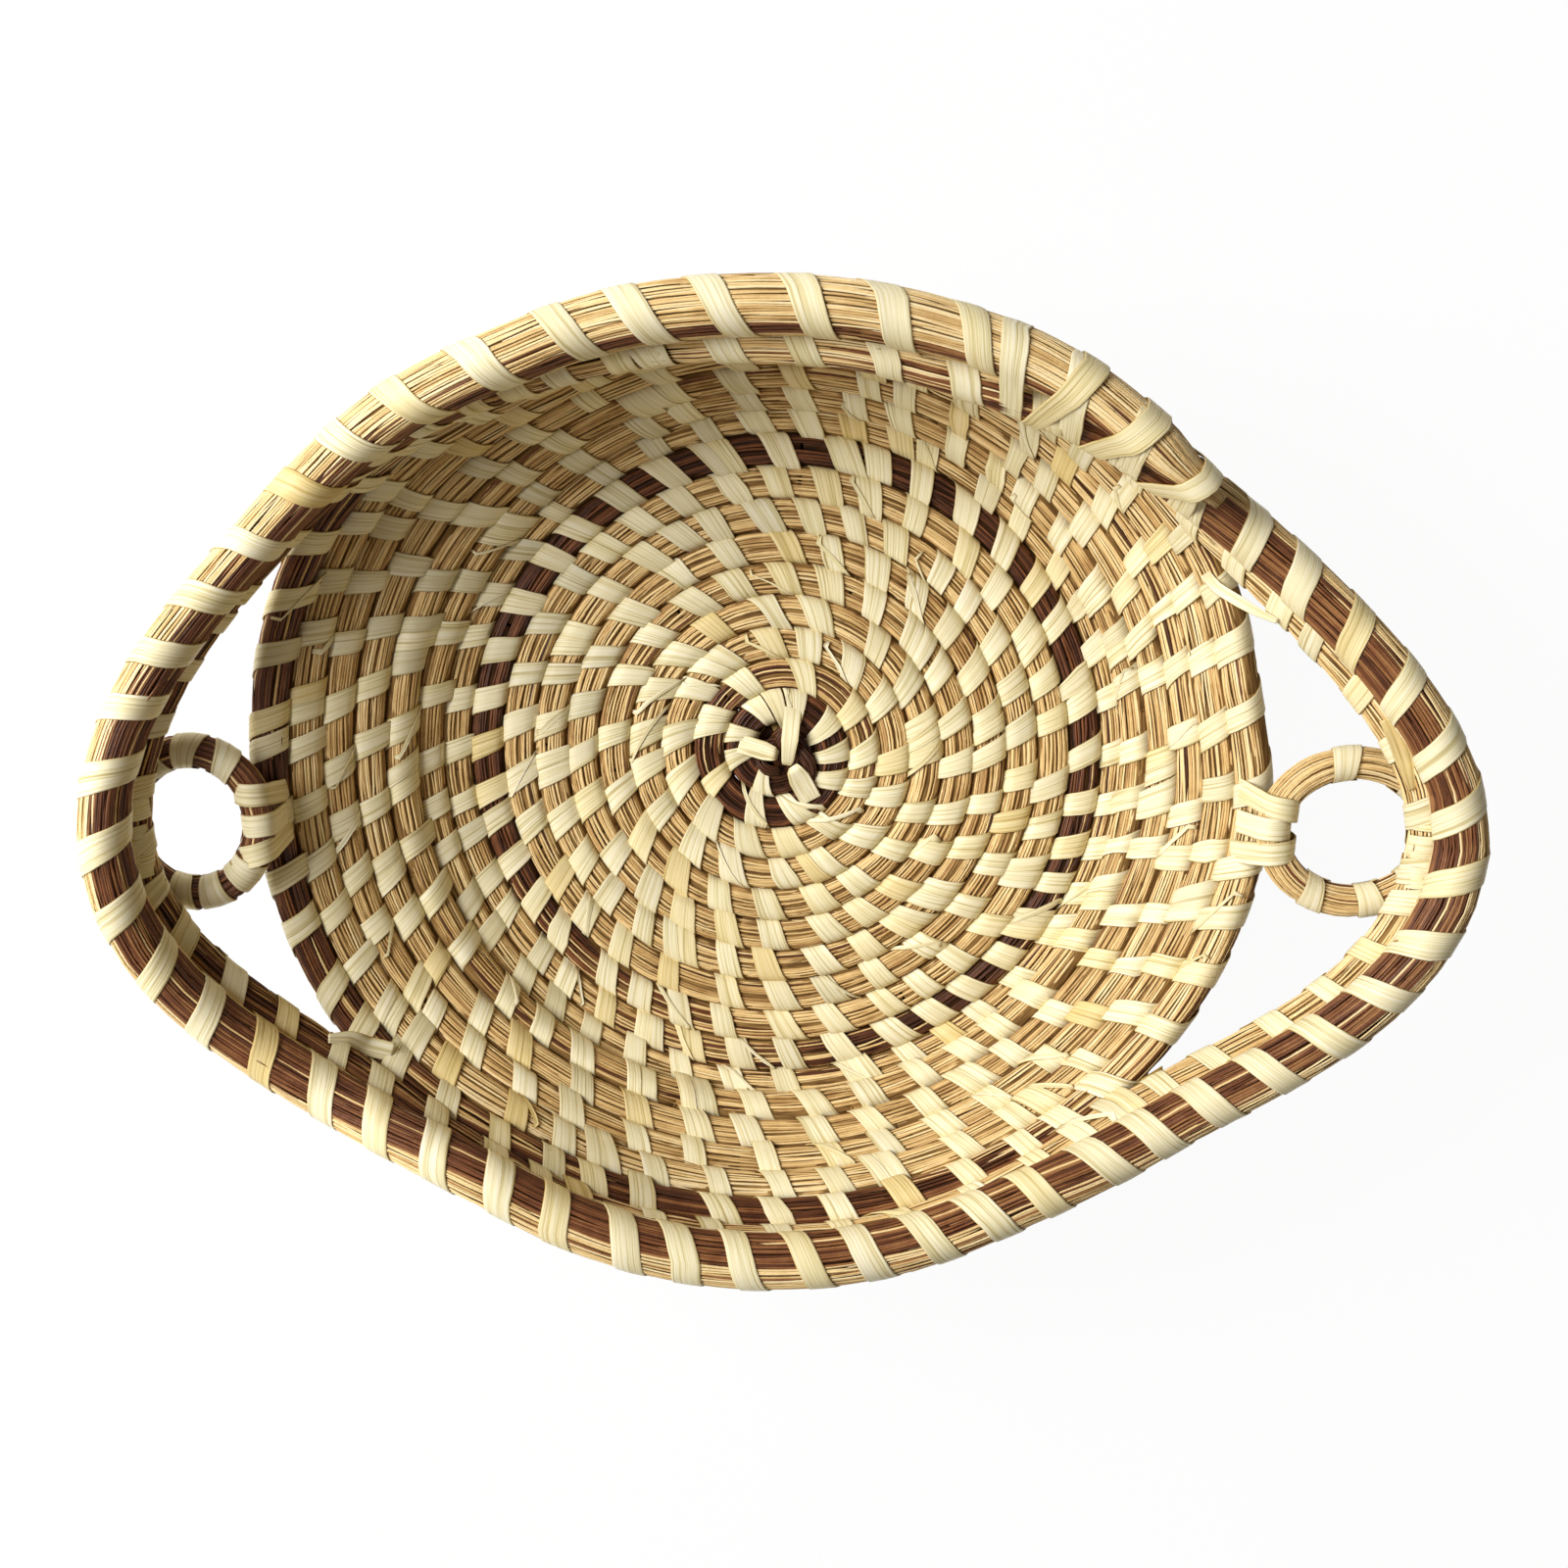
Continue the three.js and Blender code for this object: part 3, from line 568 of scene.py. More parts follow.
SWEETGRASS_SLOT = 0
PINE_SLOT = 1
BROWN_SLOT = 2
CORE_SLOT = 3
DARK_CORE_SLOT = 4
BLADE_KINDS = {SWEETGRASS_SLOT: GRASS, PINE_SLOT: PINE, BROWN_SLOT: GRASS}
# How far each corner of a blade lies out of painted shade: the ridge is in the open, and the edges and back
# take the painted shade between blades
BLADE_OUT_OF_SHADE = (1.0, 0.24, 0.0, 0.24)


def section(wide, tall, angle, power=1.0):
    """A bundle's section, an ellipse or a little squarer, as (out, up) at angles round it."""
    cosine = np.cos(angle)
    sine = np.sin(angle)
    return wide * np.sign(cosine) * np.abs(cosine) ** power, tall * np.sign(sine) * np.abs(sine) ** power


def strip_shift(angle, front, spacing):
    """How far along the bundle a strip lies from its middle, at an angle round the bundle."""
    turned = np.remainder(np.degrees(angle) - SHOWN_FROM, 360)
    shown = np.clip(turned / SHOWN_SPAN, 0, 1)
    hidden = np.clip((turned - SHOWN_SPAN) / (360 - SHOWN_SPAN), 0, 1)
    return front * (shown - 0.5) + (spacing - front) * hidden


def blade_rings(route, travel, angle, lift, half_width, half_depth):
    """Rings of a blade that runs along a bundle at an angle round it: its ridge, one edge, its back and its
    other edge."""
    outward, upward = section(route.at(travel, route.wide), route.at(travel, route.tall), angle,
                              route.at(travel, route.power))
    cosine = np.cos(angle)
    sine = np.sin(angle)
    corners = []
    for across, away in ((0, 1), (-1, 0), (0, -1), (1, 0)):
        side = across * half_width
        deep = lift + away * half_depth
        out = outward + cosine * deep - sine * side
        up = upward + sine * deep + cosine * side
        corners.append(route.spot(travel, out, up))
    return np.stack(corners, 1)


def lay_blades(route, start, end, lanes, seed, filling, pile_at, front=STITCH_FRONT,
               spacing=MEAN_SPACING, loose=0.03):
    """Fills a stretch of a bundle with blades laid end over end in lanes round it.
    Filling gives the kind of blade at a place and angle, and pile_at gives the mesh for a place.
    Front and spacing are those of the strips round it, and loose is the share of blades with a loose end."""
    draw = random.Random(seed)
    for lane in range(lanes):
        place = start - draw.uniform(0, GRASS["length"][1])
        home = 2 * math.pi * (lane + draw.uniform(-LANE_JITTER, LANE_JITTER)) / lanes
        while place < end:
            share = draw.random()
            half = mix(*GRASS["length"], share) / 2
            slot = filling(min(max(place + half, start), end), home, draw)
            kind = BLADE_KINDS[slot]
            length = mix(*kind["length"], share)
            low = max(start, place - draw.uniform(*BLADE_OVERLAP))
            high = min(end, place + length)
            place += length
            if high - low < SHORTEST_BLADE:
                continue
            middle = (low + high) / 2
            travel = route.stations(low, high)
            angle = home + wavy(travel, draw, WANDER_LENGTH) * WANDER_SHARE / lanes * math.pi
            width = draw.uniform(*kind["half_width"])
            depth = draw.uniform(*kind["half_depth"])
            near_end = np.minimum(travel - low, high - travel)
            taper = mix(TAPER_TIP, 1, np.clip(near_end / TAPER_LENGTH, 0, 1))
            pinch = route.at(travel - strip_shift(angle, front, spacing), route.pinch)
            lift = WAVE_DEPTH * wavy(travel, draw, WAVE_LENGTH) - depth - SKIN_SINK
            lift = lift - PINCH_DEPTH * pinch - END_SINK * (1 - taper)
            if draw.random() < loose:
                curl = np.clip(1 - (high - travel) / LOOSE_LENGTH, 0, 1) ** 1.6
                lift = lift + draw.uniform(*LOOSE_LIFT) * curl
            rings = blade_rings(route, travel, angle, lift, width * taper, depth * taper)
            # The blades grow lighter with height, from the lower rows up to the rim
            height = float(route.at(middle, route.centre)[2])
            tone = TONE_SPREAD * draw.random() + TONE_GAIN * smooth(height, *GAIN_HEIGHTS)
            pile_at(middle).add_tube(rings, slot, tone, BLADE_OUT_OF_SHADE)


def lay_core(route, start, end, pile_at, is_dark, piece_length=CORE_PIECE):
    """The inside of a bundle, painted dark for the shade deep among its blades and seen as dark lines
    between them.
    """
    marks = np.linspace(start, end, max(2, round((end - start) / piece_length) + 1))
    turn = 2 * np.pi * np.arange(CORE_SIDES) / CORE_SIDES
    for low, high in zip(marks[:-1], marks[1:]):
        middle = (low + high) / 2
        travel = route.stations(low, high, CORE_LAP)
        columns = []
        for angle in turn:
            wide = route.at(travel, route.core_wide)
            tall = route.at(travel, route.tall) - CORE_INSET
            around = section(wide, tall, np.full_like(travel, angle), route.at(travel, route.power))
            columns.append(route.spot(travel, *around))
        rings = np.stack(columns, 1)
        leaf = np.stack(np.broadcast_arrays(turn[None] * ROW_RADIUS, travel[:, None]), -1)
        slot = DARK_CORE_SLOT if is_dark(middle) else CORE_SLOT
        pile_at(middle).add_tube(rings, slot, 0.5, leaf=leaf)


# Palmetto strips

# Section of a strip, across its skin and back along its underside: share of the width, share of the
# thickness, and how far out of painted shade each point lies, the edges and underside taking painted shade
STRIP_SHARES = (-0.5, -0.475, -0.43, 0.0, 0.43, 0.475, 0.5, 0.5, -0.5)
STRIP_RISE = (0.3, 0.95, 1.0, 1.0, 1.0, 0.95, 0.3, 0.0, 0.0)
STRIP_OUT_OF_SHADE = (0.3, 0.7, 1.0, 1.0, 1.0, 0.7, 0.3, 0.2, 0.2)
# The veins start somewhere else on each strip
LEAF_SPREAD = 300
LEAF_RUN = 4000
# How far a strip's ends go into the row below, and how far a strip laps over its own start
BITE_DEPTH = 1.1
BITE_ROOM = 0.05
WRAP_SHARE = 1.04
HULL_LAP = 3.0
# Unevenness of a strip: sideways bend, hollow or crown, tilt of its skin, edges, and skin
STRIP_BEND = 0.45
STRIP_CROWN = (-0.05, 0.08)
STRIP_TILT = 0.16
EDGE_WAVE = 0.1
EDGE_WAVE_LENGTH = 9
SKIN_WAVE = 0.05
WILT_WAVES = 2.2
# A strip comes into sight past this share of its length, above this share of the section's height
SIGHT_START = 0.12
SIGHT_HEIGHT = -0.35
# Share of its length over which a strip narrows and darkens at each end, with painted shade and some dirt
# where it goes into the row
END_SHARE = 0.07
END_NARROWING = 0.1
END_SHADE = 0.45


def loop_profile(wide, tall, power, pitch, below_wide, below_tall, bite_front, bite_back):
    """Section of a stitch's loop in the plane square to its row: from where it comes out of the row below,
    round the back of its own row, over the front, and down into the row below again.
    Each bite is the angle on the row below at which the strip goes in."""
    def pierce(bite, room):
        outward, upward = section(below_wide + room, below_tall + room, bite, power)
        return np.array([float(outward) - pitch, float(upward)])

    def leaves(point):
        """Angle round the row at which a straight strip to a point leaves it."""
        flat = point / (wide, tall)
        distance = math.hypot(*flat)
        angle = math.atan2(flat[1], flat[0])
        return angle if distance <= 1.03 else angle - math.acos(1 / distance)

    flip = np.array([1, -1])
    front = pierce(bite_front, BITE_ROOM)
    back = pierce(bite_back, BITE_ROOM)
    arc = np.linspace(-leaves(back), leaves(front), 15)
    round_row = np.stack(section(wide, tall, arc, power), -1)
    lead_in = [pierce(bite_back, -BITE_DEPTH) * flip, back * flip, mix(back * flip, round_row[0], 0.5)]
    lead_out = [mix(round_row[-1], front, 0.5), front, pierce(bite_front, -BITE_DEPTH)]
    return np.concatenate([lead_in, round_row, lead_out])


def full_profile(wide, tall, power=1.0):
    """Section of a strip that goes once round a bundle, a little over a full turn."""
    arc = np.linspace(-np.pi * WRAP_SHARE, np.pi * WRAP_SHARE, 23)
    return np.stack(section(wide, tall, arc, power), -1)


def hull_profile(shapes, from_top=False, points=30):
    """Section of a strip drawn tight round several bundles, given as (middle out, middle up, wide, tall).
    Its ends overlap at its lowest point, or at its highest."""
    turn = np.linspace(-np.pi, np.pi, 48, endpoint=False)
    cloud = np.concatenate([np.stack(section(wide, tall, turn), -1) + (outward, upward)
                            for outward, upward, wide, tall in shapes])
    cloud = cloud[np.lexsort((cloud[:, 0], cloud[:, 1]))]
    halves = []
    for ordered in (cloud, cloud[::-1]):
        half = []
        for point in ordered:
            while len(half) > 1:
                first = half[-1] - half[-2]
                second = point - half[-1]
                if first[0] * second[1] - first[1] * second[0] > 0:
                    break
                half.pop()
            half.append(point)
        halves.append(half[:-1])
    outline = np.array(halves[0] + halves[1])
    first = outline[:, 1].argmax() if from_top else 0
    outline = np.roll(outline, -first, axis=0)
    outline = np.concatenate([outline, outline[:1]])
    along = np.concatenate([[0], np.cumsum(np.linalg.norm(np.diff(outline, axis=0), axis=1))])
    marks = np.remainder(np.linspace(0, along[-1] + HULL_LAP, points), along[-1])
    return np.stack([np.interp(marks, along, outline[:, side]) for side in (0, 1)], -1)


def lay_strip(pile, route, profile, place, front, hidden, width, draw, tone, lift=0.0, wilt=0.0):
    """A strip of leaf that follows a section profile round a bundle while it moves along the bundle.
    Front is how far it moves over the side that shows, and hidden how far behind it. A wilted strip is drawn
    narrower in places and hollow along its middle."""
    step = np.linalg.norm(np.diff(profile, axis=0), axis=1)
    along = np.concatenate([[0], np.cumsum(step)])
    length = along[-1]
    shown = (profile[:, 1] > SIGHT_HEIGHT * profile[:, 1].max()) & (along > length * SIGHT_START)
    turn_in = along[np.argmax(shown)]
    before = front * -0.5 + hidden * (along / turn_in - 1)
    after = front * ((along - turn_in) / (length - turn_in) - 0.5)
    lean = np.where(along < turn_in, before, after)
    slant = np.sqrt(1 + np.gradient(lean, along) ** 2)
    tangent = unit(np.gradient(profile, axis=0))
    normal = np.stack([tangent[:, 1], -tangent[:, 0]], -1)
    bend = draw.uniform(-STRIP_BEND, STRIP_BEND)
    crown = draw.uniform(*STRIP_CROWN)
    tilt = draw.uniform(-STRIP_TILT, STRIP_TILT)
    run = along / length
    ends = np.exp(-(run / END_SHARE) ** 2) + np.exp(-((1 - run) / END_SHARE) ** 2)
    wave = np.abs(np.sin(WILT_WAVES * np.pi * run + draw.uniform(0, 3)))
    narrow = 1 - END_NARROWING * ends - wilt * wave
    edge_waves = [EDGE_WAVE * wavy(along, draw, EDGE_WAVE_LENGTH) for _ in (0, 1)]
    columns = []
    for share, rise in zip(STRIP_SHARES, STRIP_RISE):
        spot = place + lean + share * width * slant * narrow + bend * np.sin(np.pi * run)
        if abs(share) > 0.4:
            spot = spot + edge_waves[share > 0]
        arch = (crown - 0.5 * wilt) * (1 - 4 * share * share)
        height = lift + LEAF_THICKNESS * rise + tilt * share + arch + SKIN_WAVE * draw.uniform(-1, 1)
        flat = profile + normal * height
        columns.append(route.spot(spot, flat[:, 0], flat[:, 1]))
    rings = np.stack(columns, 1)
    leaf_across = np.array(STRIP_SHARES) * width + draw.uniform(0, LEAF_SPREAD)
    leaf_along = along + draw.uniform(0, LEAF_RUN)
    leaf = np.stack(np.broadcast_arrays(leaf_across[None], leaf_along[:, None]), -1)
    # Edges and ends of a strip are darker: painted shade, with some dirt at the ends
    depth = np.array(STRIP_OUT_OF_SHADE)[None] * (1 - END_SHADE * np.clip(ends, 0, 1))[:, None]
    pile.add_tube(rings, 0, tone, depth, leaf)


# Points of a stitch's loop of which its upper side is made
LOOP_SHOWN = [False] * 11 + [True] * 9 + [False]
# Turns and bearings between which half of the strips are grey
GREY_STRIP_PLACES = (((4, 13), (92, 168)), ((8.6, 10.6), (190, 235)))


def leaf_tone(turns, draw):
    """Shade of a strip, from 0 for grey to 1 for golden."""
    bearing = (-360 * turns) % 360
    if any(low < turns < high and first < bearing < last for (low, high), (first, last) in GREY_STRIP_PLACES):
        return draw.uniform(0, 0.2) if draw.random() < 0.5 else draw.uniform(0.1, 0.8)
    return draw.uniform(0.12, 1.0)


def stitch_places(route):
    """Places of the stitches along the coil. Each is set beside a stitch of the row below where it can be,
    so that the stitches line up in arms, and a new arm starts where two grow apart."""
    draw = random.Random(41)
    run_per_turn = np.diff(route.travel) * FINE_STEPS_PER_TURN
    turns = list(FIRST_STITCHES)
    while turns[-1] < TURN["rim"] + 0.02:
        last = turns[-1]
        per_turn = float(np.interp(last + 0.01, route.turns[1:], run_per_turn))
        on_wall = smooth(last, 9.3, 11.5)
        spacing = mix(BASE_STITCH_SPACING, WALL_STITCH_SPACING, on_wall) * draw.uniform(*SPACING_SCATTER)
        wanted = last + spacing / per_turn
        nearest = last + LEAST_SPACING / per_turn
        farthest = last + mix(*WIDEST_SPACING, on_wall) / per_turn
        step = ARM_STEP / per_turn
        arms = [value + 1 - step for value in turns if nearest < value + 1 - step < farthest]
        if arms:
            scatter = draw.uniform(-ARM_SCATTER, ARM_SCATTER) / per_turn
            wanted = min(arms, key=lambda value: abs(value - wanted)) + scatter
        turns.append(wanted)
    return turns


def row_profile(route, place, bite_front, bite_back):
    """Section of a strip that sews a row to the one below, or only goes round it where they lie apart."""
    wide, tall, pitch, power = route.sizes_at(place)
    below = bundle_radius(route.turn_at(place) - 1)
    if pitch - wide - below > SEWN_ROOM:
        return full_profile(wide, tall, power)
    below_wide = min(max(pitch - wide, below - LEAST_GIVE), below + MOST_GIVE)
    return loop_profile(wide, tall, power, pitch, below_wide, below, bite_front, bite_back)


def sew_coil(route, turns, pile_at):
    """The stitches of the body, each round its own row and through the row below."""
    draw = random.Random(52)
    spacing = np.diff(turns)
    for index in range(1, len(turns) - 1):
        place = route.of_turn(turns[index])
        ahead = route.of_turn(turns[index] + spacing[index] / 2)
        advance = ahead - route.of_turn(turns[index] - spacing[index - 1] / 2)
        size = smooth(turns[index], *GROWING_STITCHES)
        width = draw.uniform(*STITCH_WIDTH) * mix(FIRST_WIDTH_SHARE, 1, size)
        bite = math.radians(draw.choice(STITCH_BITES) + draw.uniform(0, 7))
        profile = row_profile(route, place, bite, math.radians(draw.uniform(5, 25)))
        front = STITCH_FRONT * draw.uniform(0.7, 1.25) * mix(FIRST_FRONT_SHARE, 1, size)
        tone = leaf_tone(turns[index], draw)
        wilt = draw.uniform(0.15, 0.3) if draw.random() < WILTED_SHARE else 0.0
        pile = pile_at(place)
        lay_strip(pile, route, profile, place, front, advance - front, width, draw, tone, wilt=wilt)
        if draw.random() < DOUBLED_SHARE:
            # A narrower strip laid half over it, on either side
            aside = width * draw.choice((-SECOND_STRIP, SECOND_STRIP))
            lay_strip(pile, route, profile, place + aside, front * 1.2, advance - front,
                      width * SECOND_STRIP, draw, leaf_tone(turns[index], draw), 0.2)
        if draw.random() < SPLIT_SHARE and len(profile) == len(LOOP_SHOWN):
            # A sliver split from the strip's edge, lying across it at a steeper lean
            sliver = profile[np.array(LOOP_SHOWN)]
            lay_strip(pile, route, sliver[draw.randrange(3):], place + width * draw.uniform(-0.6, 0.6),
                      front * draw.uniform(1.2, 2.4), 0, draw.uniform(0.6, 1.8), draw, tone, 0.28, 0.2)


def wind_rim(route, start, end, pile_at, seed):
    """The strips wound on the rim, each through the top of the row below."""
    draw = random.Random(seed)
    place = start
    while place < end:
        turns = route.turn_at(place)
        spacing = RIM_WRAP_SPACING + RIM_WRAP_CHANGE * math.sin(-2 * math.pi * turns)
        spacing *= draw.uniform(*SPACING_SCATTER)
        bite = math.radians(draw.uniform(5, 28))
        profile = row_profile(route, place, bite, math.radians(draw.uniform(5, 20)))
        front = RIM_WRAP_FRONT * draw.uniform(0.8, 1.2)
        lay_strip(pile_at(place), route, profile, place, front, spacing - front,
                  draw.uniform(*RIM_WRAP_WIDTH), draw, draw.uniform(0.2, 1.0))
        place += spacing


# Ties over the rim's end: piece, turns of its strips, lean, seed, and height over what lies under it
SPLICE_TIES = [
    ("splice_tie", (17.834, 17.859, 17.883, 17.904), 16, 71, 0.1),
    ("splice_cross_tie", (17.846, 17.869, 17.892), -10, 72, 0.5),
]


def tie_splice(route, places, lean, seed, lift):
    """Strips round the tapered end of the rim and the rim below it, leaning one way."""
    draw = random.Random(seed)
    pile = Pile()
    for turns in places:
        place = route.of_turn(turns)
        below = bundle_radius(turns - 1)
        wide, tall, pitch, _ = route.sizes_at(place)
        profile = hull_profile([(0, 0, wide, tall), (-pitch, 0, below, below)])
        lay_strip(pile, route, profile, place, lean * draw.uniform(0.85, 1.15), -0.3 * lean,
                  draw.uniform(6.2, 7.2), draw, draw.uniform(0.3, 0.9), lift)
    return pile


# A loose ribbon keeps its width over this share of its length, then loses some, and twists a little
RIBBON_FULL = 0.55
RIBBON_TAPER = 0.55
RIBBON_TWIST = 0.5
RIBBON_SMOOTHING = 6


def lay_ribbon(pile, points, facing, width, draw, tone):
    """A loose strip of leaf through some points, with its skin to one side and its end drawn narrower."""
    marks = np.arange(len(points))
    fine = np.linspace(0, marks[-1], 8 * len(points))
    line = np.stack([np.interp(fine, marks, column) for column in np.array(points).T], -1)
    for _ in range(RIBBON_SMOOTHING):
        line[1:-1] = (line[:-2] + 2 * line[1:-1] + line[2:]) / 4
    ahead = unit(np.gradient(line, axis=0))
    across = unit(np.cross(ahead, facing))
    away = np.cross(across, ahead)
    share = np.linspace(0, 1, len(line))[:, None]
    narrow = width * (1 - RIBBON_TAPER * np.clip((share - RIBBON_FULL) / (1 - RIBBON_FULL), 0, 1))
    twist = RIBBON_TWIST * np.sin(2.5 * np.pi * share + draw.uniform(0, 3))
    columns = []
    for place, rise in zip(STRIP_SHARES, STRIP_RISE):
        side = place * narrow
        columns.append(line + across * side + away * (LEAF_THICKNESS * rise + twist * place))
    along = np.linspace(0, 30, len(line))[:, None] + draw.uniform(0, LEAF_RUN)
    leaf_across = np.array(STRIP_SHARES)[None] * width + draw.uniform(0, LEAF_SPREAD)
    leaf = np.stack(np.broadcast_arrays(leaf_across, along), -1)
    pile.add_tube(np.stack(columns, 1), 0, tone, np.array(STRIP_OUT_OF_SHADE)[None], leaf)


# Loose strips: width, shade, and points given as (turn count, outward, upward) beside the coil
LOOSE_STRIPS = [
    (3.0, 0.6, ((14.931, 1, 4.7), (14.937, 3.5, 5.5), (15.943, -4.5, 5.6), (15.949, -2.5, 5.0))),
    (5.4, 0.5, ((15.396, -1, 4.8), (15.403, 3, 5.2), (16.407, -4, 5.2), (16.412, 0, 5.0))),
    (4.8, 0.97, ((15.983, 1.8, 4.4), (15.989, 1.0, 4.8), (15.995, 0.0, 4.7), (16.001, -1.2, 4.4))),
]
# Strips drawn from the first row over the knot: bearing in degrees, end past the middle, and width
KNOT_COVER = [(84, 2.0, 4.8), (164, -3.0, 5.4), (-62, -3.0, 6.2)]


def loose_strips(route):
    """Strips that lie loose over the rows at the places given."""
    draw = random.Random(101)
    pile = Pile()
    for width, tone, places in LOOSE_STRIPS:
        points = [route.spot(np.array(route.of_turn(turns)), np.array(float(out)), np.array(float(up)))
                  for turns, out, up in places]
        lay_ribbon(pile, points, (0.0, 0.1, 1.0), width, draw, tone)
    return pile


def cover_knot(pile, knot, draw):
    """Strips that come up from the first row and end over the knot."""
    middle = knot.centre.mean(0) * (1, 1, 0)
    top = knot.centre[:, 2].max() + float(knot.tall[0])
    for bearing, past, width in KNOT_COVER:
        angle = math.radians(bearing)
        toward = np.array([math.cos(angle), math.sin(angle), 0.0])
        spots = ((14.0, 7.2), (11.0, 8.0), (7.5, top - 0.3), (4.0, top + 0.4),
                 (-past * 0.6, top + 0.3), (-past, top - 0.8))
        points = [middle + toward * reach + (0, 0, height) for reach, height in spots
                  if reach > -past - 0.01]
        lay_ribbon(pile, points, (0.0, 0.0, 1.0), width, draw, draw.uniform(0.3, 0.7))


# Rings and knot

# Shares of a ring's blades that are of the other kind, and that end loose
RING_STRAYS = 0.08
RING_LOOSE = 0.08
# Degrees round each ring at which its wraps lie
RING_WRAPS = {"right": (256, 310, 117, 74, 37), "left": (92, 61, 128, 286, 259, 226)}
# Half length of the line along which a ring is lashed, and the turn step that measures a row beside it
SEAT_REACH = 40
SEAT_STEP = 0.002
# Strips of each lashing: place along the ring's seat, lean, and height over the strips under it
BODY_LASHINGS = {
    "right": ((-6.4, -6, 0.35), (0.2, 2, 0.0), (6.6, 8, 0.3)),
    "left": ((-7.4, 9, 0.3), (-0.8, 1, 0.0), (6.2, -5, 0.2)),
}
HANDLE_LASHINGS = {
    "right": ((-7.5, 3, 0.1), (0.0, 5, 0.3), (7.5, 3, 0.1)),
    "left": ((-7.0, 4, 0.2), (0.5, 3, 0.1), (7.5, 4, 0.25)),
}


def wrap_ring(name, route, seed):
    """Strips wound on a ring."""
    draw = random.Random(seed)
    pile = Pile()
    for degrees in RING_WRAPS[name]:
        place = route.of_turn(degrees / 360)
        profile = full_profile(RING_RADIUS, RING_RADIUS)
        lay_strip(pile, route, profile, place, draw.uniform(-4, 5), 0, draw.uniform(5.8, 7.4), draw,
                  draw.uniform(0.1, 0.9))
    return pile


def lash_ring(name, seat, strips, row, seed):
    """Strips round a ring and a row of the coil: row 0 is the body rim and row 1 the handle."""
    draw = random.Random(seed)
    centre, outward, along = seat
    ring = RINGS[name]
    side = 1 if row else -1
    turns = body_turn_at(ring["bearing"]) + row
    before, tip, after = coil_points([turns - SEAT_STEP, turns, turns + SEAT_STEP]) + SHIFT
    per_turn = np.linalg.norm(after - before) / (2 * SEAT_STEP)
    near_ring = centre + outward * side * ring["half_length"]
    middle = (tip + near_ring) / 2
    line = middle + along * np.linspace(-SEAT_REACH, SEAT_REACH, 41)[:, None]
    size = np.full(len(line), ROW_RADIUS)
    route = Route(line, np.broadcast_to(outward, line.shape), size, size, size)
    pile = Pile()
    for offset, lean, lift in strips:
        shapes = []
        bow = side * ring["half_length"] * math.sqrt(max(0.0, 1 - (offset / ring["half_width"]) ** 2))
        for point, radius in ((centre + outward * bow, RING_RADIUS),
                              (coil_points([turns + offset / per_turn])[0] + SHIFT, ROW_RADIUS)):
            away = point - middle
            shapes.append((away @ route.out[0], away @ route.up[0], radius, radius))
        profile = hull_profile(shapes, route.up[0][2] < 0)
        lay_strip(pile, route, profile, SEAT_REACH + offset, lean, 1.5, draw.uniform(5.8, 6.6), draw,
                  draw.uniform(0.15, 0.9), lift)
    return pile


# Materials


def linear(code):
    """Linear colour from an sRGB hex code."""
    channels = [int(code[index:index + 2], 16) / 255 for index in (1, 3, 5)]
    steep = [value / 12.92 if value <= 0.04045 else ((value + 0.055) / 1.055) ** 2.4
             for value in channels]
    return steep + [1.0]


def add_node(tree, kind, inputs=None, stops=(), **settings):
    """Adds a node with its settings and its links or values. Stops are a colour ramp's, as (place, hex)."""
    node = tree.nodes.new(kind)
    for name, value in settings.items():
        setattr(node, name, value)
    for name, value in (inputs or {}).items():
        if isinstance(value, bpy.types.NodeSocket):
            tree.links.new(value, node.inputs[name])
        else:
            node.inputs[name].default_value = value
    if stops:
        elements = node.color_ramp.elements
        while len(elements) < len(stops):
            elements.new(0.5)
        for element, (place, code) in zip(elements, stops):
            element.position = place
            element.color = linear(code)
    return node


def new_material(name):
    material = bpy.data.materials.new(name)
    material.use_nodes = True
    tree = material.node_tree
    tree.nodes.clear()
    return material, tree


# Inputs of the colour mix node by number: factor, first and second colour
MIX_FACTOR = 0
MIX_FIRST = 6
MIX_SECOND = 7
MIX_RESULT = 2


def finish_surface(tree, color, roughness, height, distance, specular):
    """Joins a colour and a relief, given with its depth in metres, to the material's surface."""
    bump = add_node(tree, "ShaderNodeBump", {"Height": height, "Strength": 0.6, "Distance": distance})
    shader = add_node(tree, "ShaderNodeBsdfPrincipled", {
        "Base Color": color, "Roughness": roughness, "Normal": bump.outputs["Normal"], "IOR": 1.45,
        "Specular IOR Level": specular})
    add_node(tree, "ShaderNodeOutputMaterial", {"Surface": shader.outputs["BSDF"]})


